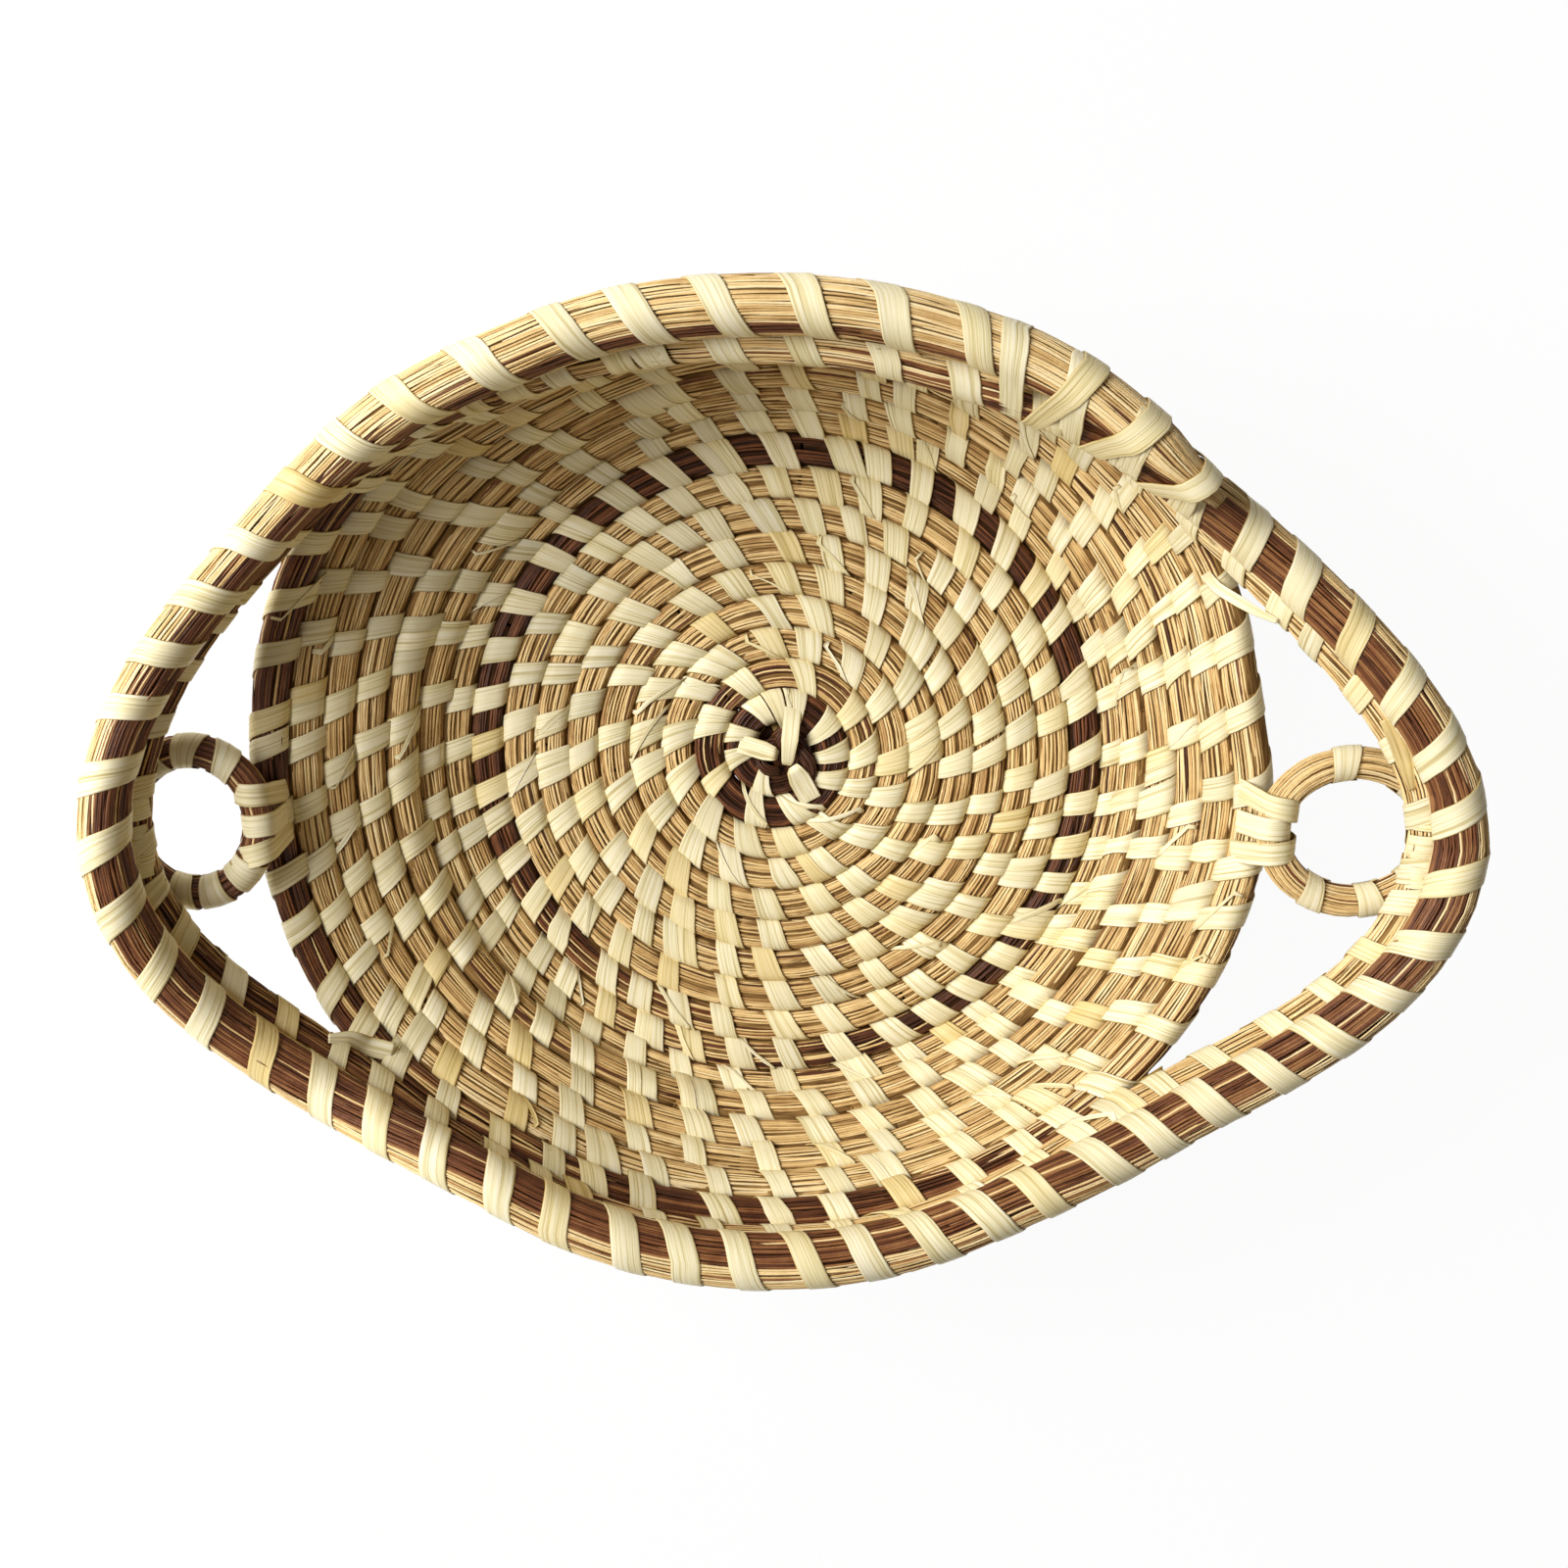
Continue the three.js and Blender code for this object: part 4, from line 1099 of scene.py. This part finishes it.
def dried_blade(name, stops, shade, roughness, specular):
    """Dried blade or needle: one shade to a blade with mottling along it, and painted shade on its flanks
    where it meets its neighbours."""
    material, tree = new_material(name)
    tone = add_node(tree, "ShaderNodeAttribute", attribute_name="tone")
    depth = add_node(tree, "ShaderNodeAttribute", attribute_name="depth")
    place = add_node(tree, "ShaderNodeTexCoord")
    # Mottling about 6 mm across, drawn coarse enough to show
    mottle = add_node(tree, "ShaderNodeTexNoise", {
        "Vector": place.outputs["Object"], "Scale": 160.0, "Detail": 3.0, "Roughness": 0.6})
    total = add_node(tree, "ShaderNodeMath", {0: mottle.outputs["Fac"], 1: 0.75, 2: tone.outputs["Fac"]},
                     operation="MULTIPLY_ADD")
    centred = add_node(tree, "ShaderNodeMath", {0: total.outputs[0], 1: 0.375}, operation="SUBTRACT")
    blade = add_node(tree, "ShaderNodeValToRGB", {"Fac": centred.outputs[0]}, stops)
    # Painted shade: the flanks of a blade, where it sinks between its neighbours, turn to the shade colour
    open_air = add_node(tree, "ShaderNodeMapRange", {
        "Value": depth.outputs["Fac"], "From Min": 0.1, "From Max": 0.5}, interpolation_type="SMOOTHSTEP")
    color = add_node(tree, "ShaderNodeMix", {
        MIX_FACTOR: open_air.outputs["Result"], MIX_FIRST: linear(shade),
        MIX_SECOND: blade.outputs["Color"]}, data_type="RGBA")
    # Grain of the skin about 1 mm across
    grain = add_node(tree, "ShaderNodeTexNoise", {
        "Vector": place.outputs["Object"], "Scale": 900.0, "Detail": 2.0})
    finish_surface(tree, color.outputs[MIX_RESULT], roughness, grain.outputs["Fac"], 0.0002, specular)
    return material


def palmetto_leaf():
    """Split palmetto leaf, dried pale: fine parallel veins, thin edges darkened with painted shade, and a
    satin skin.
    """
    material, tree = new_material("dried_palmetto_leaf")
    tone = add_node(tree, "ShaderNodeAttribute", attribute_name="tone")
    depth = add_node(tree, "ShaderNodeAttribute", attribute_name="depth")
    leaf = add_node(tree, "ShaderNodeUVMap", uv_map="leaf")
    stretch = add_node(tree, "ShaderNodeMapping", {"Vector": leaf.outputs["UV"], "Scale": (1.0, 0.012, 1.0)})
    # Folds of the leaf about 1.2 mm apart, and veins about 0.5 mm apart
    folds = add_node(tree, "ShaderNodeTexNoise", {
        "Vector": stretch.outputs["Vector"], "Scale": 0.8, "Detail": 1.0, "Roughness": 0.5})
    veins = add_node(tree, "ShaderNodeTexNoise", {
        "Vector": stretch.outputs["Vector"], "Scale": 1.7, "Detail": 2.5, "Roughness": 0.75})
    half_folds = add_node(tree, "ShaderNodeMath", {0: folds.outputs["Fac"], 1: 0.2}, operation="MULTIPLY")
    relief = add_node(tree, "ShaderNodeMath", {0: veins.outputs["Fac"], 1: 0.8, 2: half_folds.outputs[0]},
                      operation="MULTIPLY_ADD")
    lines = add_node(tree, "ShaderNodeValToRGB", {"Fac": relief.outputs[0]}, [
        (0.35, "#c2b48a"), (0.43, "#e6dfc2"), (0.5, "#f8f4e3"), (0.62, "#ffffff")])
    hue = add_node(tree, "ShaderNodeValToRGB", {"Fac": tone.outputs["Fac"]}, [
        (0.0, "#dad4bd"), (0.14, "#e6dfc6"), (0.22, "#ebe2c4"), (0.35, "#f5eed5"), (0.75, "#f5edcf"),
        (0.93, "#f2e5bd"), (1.0, "#e4cd94")])
    skin = add_node(tree, "ShaderNodeMix", {
        MIX_FACTOR: 1.0, MIX_FIRST: lines.outputs["Color"], MIX_SECOND: hue.outputs["Color"]},
        data_type="RGBA", blend_type="MULTIPLY")
    # Painted shade on a strip's edges and underside, and painted shade with some dirt at its ends,
    # multiplied in as #b39a66
    inside = add_node(tree, "ShaderNodeMapRange", {
        "Value": depth.outputs["Fac"], "From Min": 0.2, "From Max": 0.9}, interpolation_type="SMOOTHSTEP")
    shade_and_dirt = add_node(tree, "ShaderNodeMix", {
        MIX_FACTOR: 1.0, MIX_FIRST: skin.outputs[MIX_RESULT], MIX_SECOND: linear("#b39a66")},
        data_type="RGBA", blend_type="MULTIPLY")
    color = add_node(tree, "ShaderNodeMix", {
        MIX_FACTOR: inside.outputs["Result"], MIX_FIRST: shade_and_dirt.outputs[MIX_RESULT],
        MIX_SECOND: skin.outputs[MIX_RESULT]}, data_type="RGBA")
    finish_surface(tree, color.outputs[MIX_RESULT], 0.45, relief.outputs[0], 0.0003, 0.25)
    return material


def bundle_core(name, dark, light):
    """Inside of a bundle, painted as blades in deep shade, streaked along it."""
    material, tree = new_material(name)
    leaf = add_node(tree, "ShaderNodeUVMap", uv_map="leaf")
    stretch = add_node(tree, "ShaderNodeMapping", {"Vector": leaf.outputs["UV"], "Scale": (1.0, 0.06, 1.0)})
    # Streaks about 0.6 mm apart
    streaks = add_node(tree, "ShaderNodeTexNoise", {
        "Vector": stretch.outputs["Vector"], "Scale": 1.6, "Detail": 2.0})
    color = add_node(tree, "ShaderNodeValToRGB", {"Fac": streaks.outputs["Fac"]}, [
        (0.35, dark), (0.65, light)])
    finish_surface(tree, color.outputs["Color"], 0.8, streaks.outputs["Fac"], 0.0004, 0.15)
    return material


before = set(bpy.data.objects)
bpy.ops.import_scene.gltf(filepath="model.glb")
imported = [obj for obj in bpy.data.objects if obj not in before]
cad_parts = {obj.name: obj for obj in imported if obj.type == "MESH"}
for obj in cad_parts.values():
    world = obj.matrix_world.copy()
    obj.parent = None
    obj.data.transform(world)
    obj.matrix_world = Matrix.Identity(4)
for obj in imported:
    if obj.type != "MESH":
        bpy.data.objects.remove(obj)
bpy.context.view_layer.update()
SHIFT = part_shift()

palmetto = palmetto_leaf()
# The second colour of each blade material is the painted shade between its blades. The last two materials
# are the insides of the bundles, painted dark for the shade among the blades
bundle_materials = [
    dried_blade("dried_sweetgrass", [
        (0.02, "#b08855"), (0.2, "#cda86e"), (0.45, "#e3c186"), (0.7, "#f1d399"), (0.97, "#fae3b2")],
        "#8b6431", 0.45, 0.2),
    dried_blade("dried_pine_needle", [
        (0.05, "#371c0f"), (0.4, "#5b351f"), (0.75, "#7a4b2d"), (1.0, "#9b6d43")], "#221006", 0.38, 0.25),
    dried_blade("aged_brown_grass", [
        (0.05, "#5b3c1c"), (0.4, "#8c6436"), (0.75, "#b38a54"), (1.0, "#d2ae74")], "#3a220e", 0.45, 0.2),
    bundle_core("shaded_grass_inside", "#604323", "#a07c48"),
    bundle_core("shaded_pine_inside", "#190d06", "#43280f"),
]

route = coil_route()

# The wall is two meshes, which meet at this turn
WALL_SPLIT = 12.5
# Zones of the coil: piece, the turn at which it ends, the solid it stands for, and its slot
ZONES = [
    ("pine_start_blades", TURN["sweetgrass"], "pine_start_coil", "pine_needle"),
    ("base_blades", TURN["band"], "base_coil", "sweetgrass"),
    ("pine_band_needles", TURN["wall"], "base_pine_band", "pine_needle"),
    ("lower_wall_blades", WALL_SPLIT, "wall_coil", "sweetgrass"),
    ("upper_wall_blades", TURN["body_rim_pine"], "wall_coil", "sweetgrass"),
    ("body_rim_needles", TURN["handle_row"], "body_rim_pine", "pine_needle"),
    ("right_handle_blades", TURN["handle_left"], "handle_row_right", "sweetgrass"),
    ("left_handle_blades", TURN["rim"], "handle_row_left", "brown_grass"),
    ("rim_blades", TURN["end"] + 1, "rim_coil", "sweetgrass"),
]
# The same for the stitches and wraps. Stitches stand for no solid.
STRIP_ZONES = [
    ("base_stitches", TURN["wall"], None, "palmetto"),
    ("wall_stitches", TURN["handle_row"], None, "palmetto"),
    ("handle_stitches", TURN["rim"], None, "palmetto"),
    ("rim_start_wraps", WRAPS_LAP, "rim_start_binding", "palmetto"),
    ("rim_wraps", TURN["end"] + 1, "rim_binding", "palmetto"),
]
zone_piles = [Pile() for _ in ZONES]
strip_piles = [Pile() for _ in STRIP_ZONES]


def pile_in(piles, zones):
    """The function that gives the mesh for a place along the coil."""
    def pile_at(place):
        turns = route.turn_at(place)
        for pile, zone in zip(piles, zones):
            if turns < zone[1]:
                return pile
        return piles[-1]
    return pile_at


# Angle round the rim at which its pine needles begin, by turn. Angle 0 is the top and 90 degrees inward.
RIM_PINE_FROM = [(16.7, 160), (16.76, 160), (16.8, -20), (17.0, 2), (17.1, 12), (17.2, 8), (17.3, 4),
                 (17.4, -6), (17.5, -8), (17.56, 25), (17.6, 70), (17.92, 82)]
RIM_PINE_END = 125
# Shares of needles: strays in the body, and on the rim in its dark part and outside it
STRAY_NEEDLES = 0.015
RIM_NEEDLES = {"dark": 0.93, "light": 0.04}
BROWN_SHARE = 0.75
# Turns between which the inside of the coil is dark
DARK_CORES = ((TAIL_START, 1.75), (8.35, 9.2), (15.17, 15.62), (16.3, 17.6))


def coil_filling(place, angle, draw):
    """Kind of blade at a place along the coil and an angle round it. Angle 0 is outward from the row below
    and a quarter turn is the side that the photograph shows."""
    turns = route.turn_at(place)
    if turns < TURN["rim"]:
        # Share of needles: the start, the band, the dark half row, the left handle, and one spot on the wall
        share = 1 - smooth(turns, 1.5, 1.95)
        band = 0.97 * smooth(turns, 8.3, 8.38) * (1 - 0.5 * smooth(turns, 9.15, 9.22))
        share += band * (turns < TURN["wall"])
        share += 0.93 * smooth(turns, 15.1, 15.2) * (1 - smooth(turns, 15.6, 15.68))
        share += 0.5 * smooth(turns, 16.28, 16.36)
        share += 0.25 * math.exp(-((turns - 10.26) / 0.03) ** 2)
        if draw.random() < max(share, STRAY_NEEDLES):
            return PINE_SLOT
        return BROWN_SLOT if turns > 16.3 and draw.random() < BROWN_SHARE else SWEETGRASS_SLOT
    degrees = (math.degrees(angle) + 180) % 360 - 180
    first = np.interp(turns, *zip(*RIM_PINE_FROM))
    is_dark = first < degrees < RIM_PINE_END - 20 * smooth(turns, 17.55, 17.65)
    share = RIM_NEEDLES["dark" if is_dark else "light"]
    return PINE_SLOT if draw.random() < share else SWEETGRASS_SLOT


def coil_is_dark(place):
    """Whether the inside of the coil is dark needles at a place along it."""
    turns = route.turn_at(place)
    return any(low < turns < high for low, high in DARK_CORES)


stitches = stitch_places(route)
route.pinched_by([route.of_turn(turns) for turns in stitches])
rim_start = route.of_turn(WRAPS_START)
rim_end = route.of_turn(RIM_STOP)
blade_pile = pile_in(zone_piles, ZONES)
strip_pile = pile_in(strip_piles, STRIP_ZONES)
row_lanes = round(2 * math.pi * ROW_RADIUS * LANES_PER_MM)
rim_lanes = round(2 * math.pi * RIM_RADIUS["front"] * LANES_PER_MM)
lay_blades(route, 0.0, rim_start, row_lanes, 7, coil_filling, blade_pile)
lay_blades(route, rim_start, rim_end, rim_lanes, 8, coil_filling, blade_pile, RIM_WRAP_FRONT,
           RIM_MEAN_SPACING)
lay_core(route, 0.0, rim_end, blade_pile, coil_is_dark)
sew_coil(route, stitches, strip_pile)
wind_rim(route, rim_start, route.of_turn(WRAPS_STOP), strip_pile, 61)
for pile, (name, _, node, slot) in zip(zone_piles, ZONES):
    pile.make(name, bundle_materials, slot, [node])
for pile, (name, _, node, slot) in zip(strip_piles, STRIP_ZONES):
    pile.make(name, [palmetto], slot, [node] if node else [])
for name, places, lean, seed, lift in SPLICE_TIES:
    tie_splice(route, places, lean, seed, lift).make(name, [palmetto], "palmetto", [f"rim_{name}"])


def make_ring(name, blade_slot, core_slot, slot):
    """A ring with its blades, its wraps and the lashings that hold it to the body rim and to the handle."""
    ring, *seat = ring_route(name)
    pile = Pile()
    lanes = round(2 * math.pi * RING_RADIUS * LANES_PER_MM)

    def filling(place, angle, draw):
        if draw.random() < RING_STRAYS:
            return SWEETGRASS_SLOT if blade_slot == PINE_SLOT else PINE_SLOT
        return blade_slot

    ring.pinched_by([ring.of_turn(degrees / 360) for degrees in RING_WRAPS[name]])
    end = float(ring.travel[-1])
    lay_blades(ring, 0.0, end, lanes, 81, filling, lambda place: pile, 0.0, 0.0, RING_LOOSE)
    lay_core(ring, 0.0, end, lambda place: pile, lambda place: core_slot == DARK_CORE_SLOT)
    pile.make(f"ring_{name}_blades", bundle_materials, slot, [f"ring_{name}"])
    wrap_ring(name, ring, 82).make(f"ring_{name}_wraps", [palmetto], "palmetto", [f"ring_{name}_binding"])
    lash_ring(name, seat, BODY_LASHINGS[name], 0, 83).make(
        f"ring_{name}_body_lashing_strips", [palmetto], "palmetto", [f"ring_{name}_body_lashing"])
    lash_ring(name, seat, HANDLE_LASHINGS[name], 1, 84).make(
        f"ring_{name}_handle_lashing_strips", [palmetto], "palmetto", [f"ring_{name}_handle_lashing"])


make_ring("right", SWEETGRASS_SLOT, CORE_SLOT, "sweetgrass")
make_ring("left", PINE_SLOT, DARK_CORE_SLOT, "pine_needle")


def make_knot():
    """The knot, the needles' ends coiled under it, and the strips over it."""
    knot = knot_route()
    pad = pad_route()
    pile = Pile()
    for bundle, seed in ((knot, 91), (pad, 92)):
        end = float(bundle.travel[-1])
        lay_blades(bundle, 0.0, end, KNOT_LANES, seed, lambda place, angle, draw: PINE_SLOT,
                   lambda place: pile, 0.0, 0.0)
        lay_core(bundle, 0.0, end, lambda place: pile, lambda place: True, KNOT_CORE_PIECE)
    pile.make("knot_needles", bundle_materials, "pine_needle", ["starting_knot"])
    draw = random.Random(93)
    strips = Pile()
    cover_knot(strips, knot, draw)
    strips.make("knot_strips", [palmetto], "palmetto", ["starting_knot"])


make_knot()
loose_strips(route).make("loose_strips", [palmetto], "palmetto")


# Floor, light and camera, in metres

FLOOR_HALF = 14.0
FLOOR_HEIGHT = -0.0002
# How white the background shows, and the two lamps as name, place, size and power
FLOOR_WHITE = 0.95
WORLD_WHITE = 1.0
LAMPS = [
    ("window", (-0.99, 0.37, 0.86), 0.9, 30.6),
    ("fill", (-0.5, -0.95, 0.8), 1.0, 1.8),
]
LAMP_TARGET = (0, 0, 0.03)


def background_share(tree, share):
    """Share of plain white for rays that see the background, straight or in a reflection."""
    path = add_node(tree, "ShaderNodeLightPath")
    mirrored = add_node(tree, "ShaderNodeMath", {
        0: path.outputs["Is Camera Ray"], 1: path.outputs["Is Glossy Ray"]}, operation="MAXIMUM")
    seen = add_node(tree, "ShaderNodeMath", {
        0: mirrored.outputs[0], 1: path.outputs["Is Transmission Ray"]}, operation="MAXIMUM")
    return add_node(tree, "ShaderNodeMath", {0: seen.outputs[0], 1: share}, operation="MULTIPLY").outputs[0]


def make_floor():
    mesh = bpy.data.meshes.new("floor")
    corners = [(-FLOOR_HALF, -FLOOR_HALF, 0), (FLOOR_HALF, -FLOOR_HALF, 0), (FLOOR_HALF, FLOOR_HALF, 0),
               (-FLOOR_HALF, FLOOR_HALF, 0)]
    mesh.from_pydata(corners, [], [(0, 1, 2, 3)])
    floor = bpy.data.objects.new("floor", mesh)
    floor.location.z = FLOOR_HEIGHT
    bpy.context.scene.collection.objects.link(floor)
    material, tree = new_material("pale_floor")
    shade = add_node(tree, "ShaderNodeBsdfPrincipled", {"Base Color": linear("#f4f4f4"), "Roughness": 0.9})
    glow = add_node(tree, "ShaderNodeEmission", {"Color": linear("#ffffff"), "Strength": 1.0})
    both = add_node(tree, "ShaderNodeMixShader", {
        0: background_share(tree, FLOOR_WHITE), 1: shade.outputs[0], 2: glow.outputs[0]})
    add_node(tree, "ShaderNodeOutputMaterial", {"Surface": both.outputs[0]})
    mesh.materials.append(material)


def make_light():
    world = bpy.data.worlds.new("studio")
    world.use_nodes = True
    tree = world.node_tree
    tree.nodes.clear()
    soft = add_node(tree, "ShaderNodeBackground", {"Color": linear("#ffe9c8"), "Strength": 0.11})
    white = add_node(tree, "ShaderNodeBackground", {"Color": linear("#ffffff"), "Strength": 1.0})
    both = add_node(tree, "ShaderNodeMixShader", {
        0: background_share(tree, WORLD_WHITE), 1: soft.outputs[0], 2: white.outputs[0]})
    add_node(tree, "ShaderNodeOutputWorld", {"Surface": both.outputs[0]})
    bpy.context.scene.world = world
    for name, place, size, power in LAMPS:
        lamp = bpy.data.lights.new(name, "AREA")
        lamp.size = size
        lamp.energy = power
        holder = bpy.data.objects.new(name, lamp)
        holder.location = place
        aim = Vector(LAMP_TARGET) - Vector(place)
        holder.rotation_euler = aim.to_track_quat("-Z", "Y").to_euler()
        bpy.context.scene.collection.objects.link(holder)


def make_camera():
    camera = bpy.data.cameras.new("photo_camera")
    camera.sensor_width = SENSOR_WIDTH
    camera.lens = FOCAL_PIXELS * SENSOR_WIDTH / PHOTO_SIZE
    holder = bpy.data.objects.new("photo_camera", camera)
    place = Vector((np.array(CAMERA_PLACE) + SHIFT) * MM)
    target = Vector((np.array(CAMERA_TARGET) + SHIFT) * MM)
    back = (place - target).normalized()
    right = Vector((0, 1, 0)).cross(back).normalized()
    above = back.cross(right)
    holder.location = place
    holder.rotation_euler = Matrix((right, above, back)).transposed().to_euler()
    bpy.context.scene.collection.objects.link(holder)
    bpy.context.scene.camera = holder


make_floor()
make_light()
make_camera()
bpy.context.scene.view_settings.view_transform = "Standard"
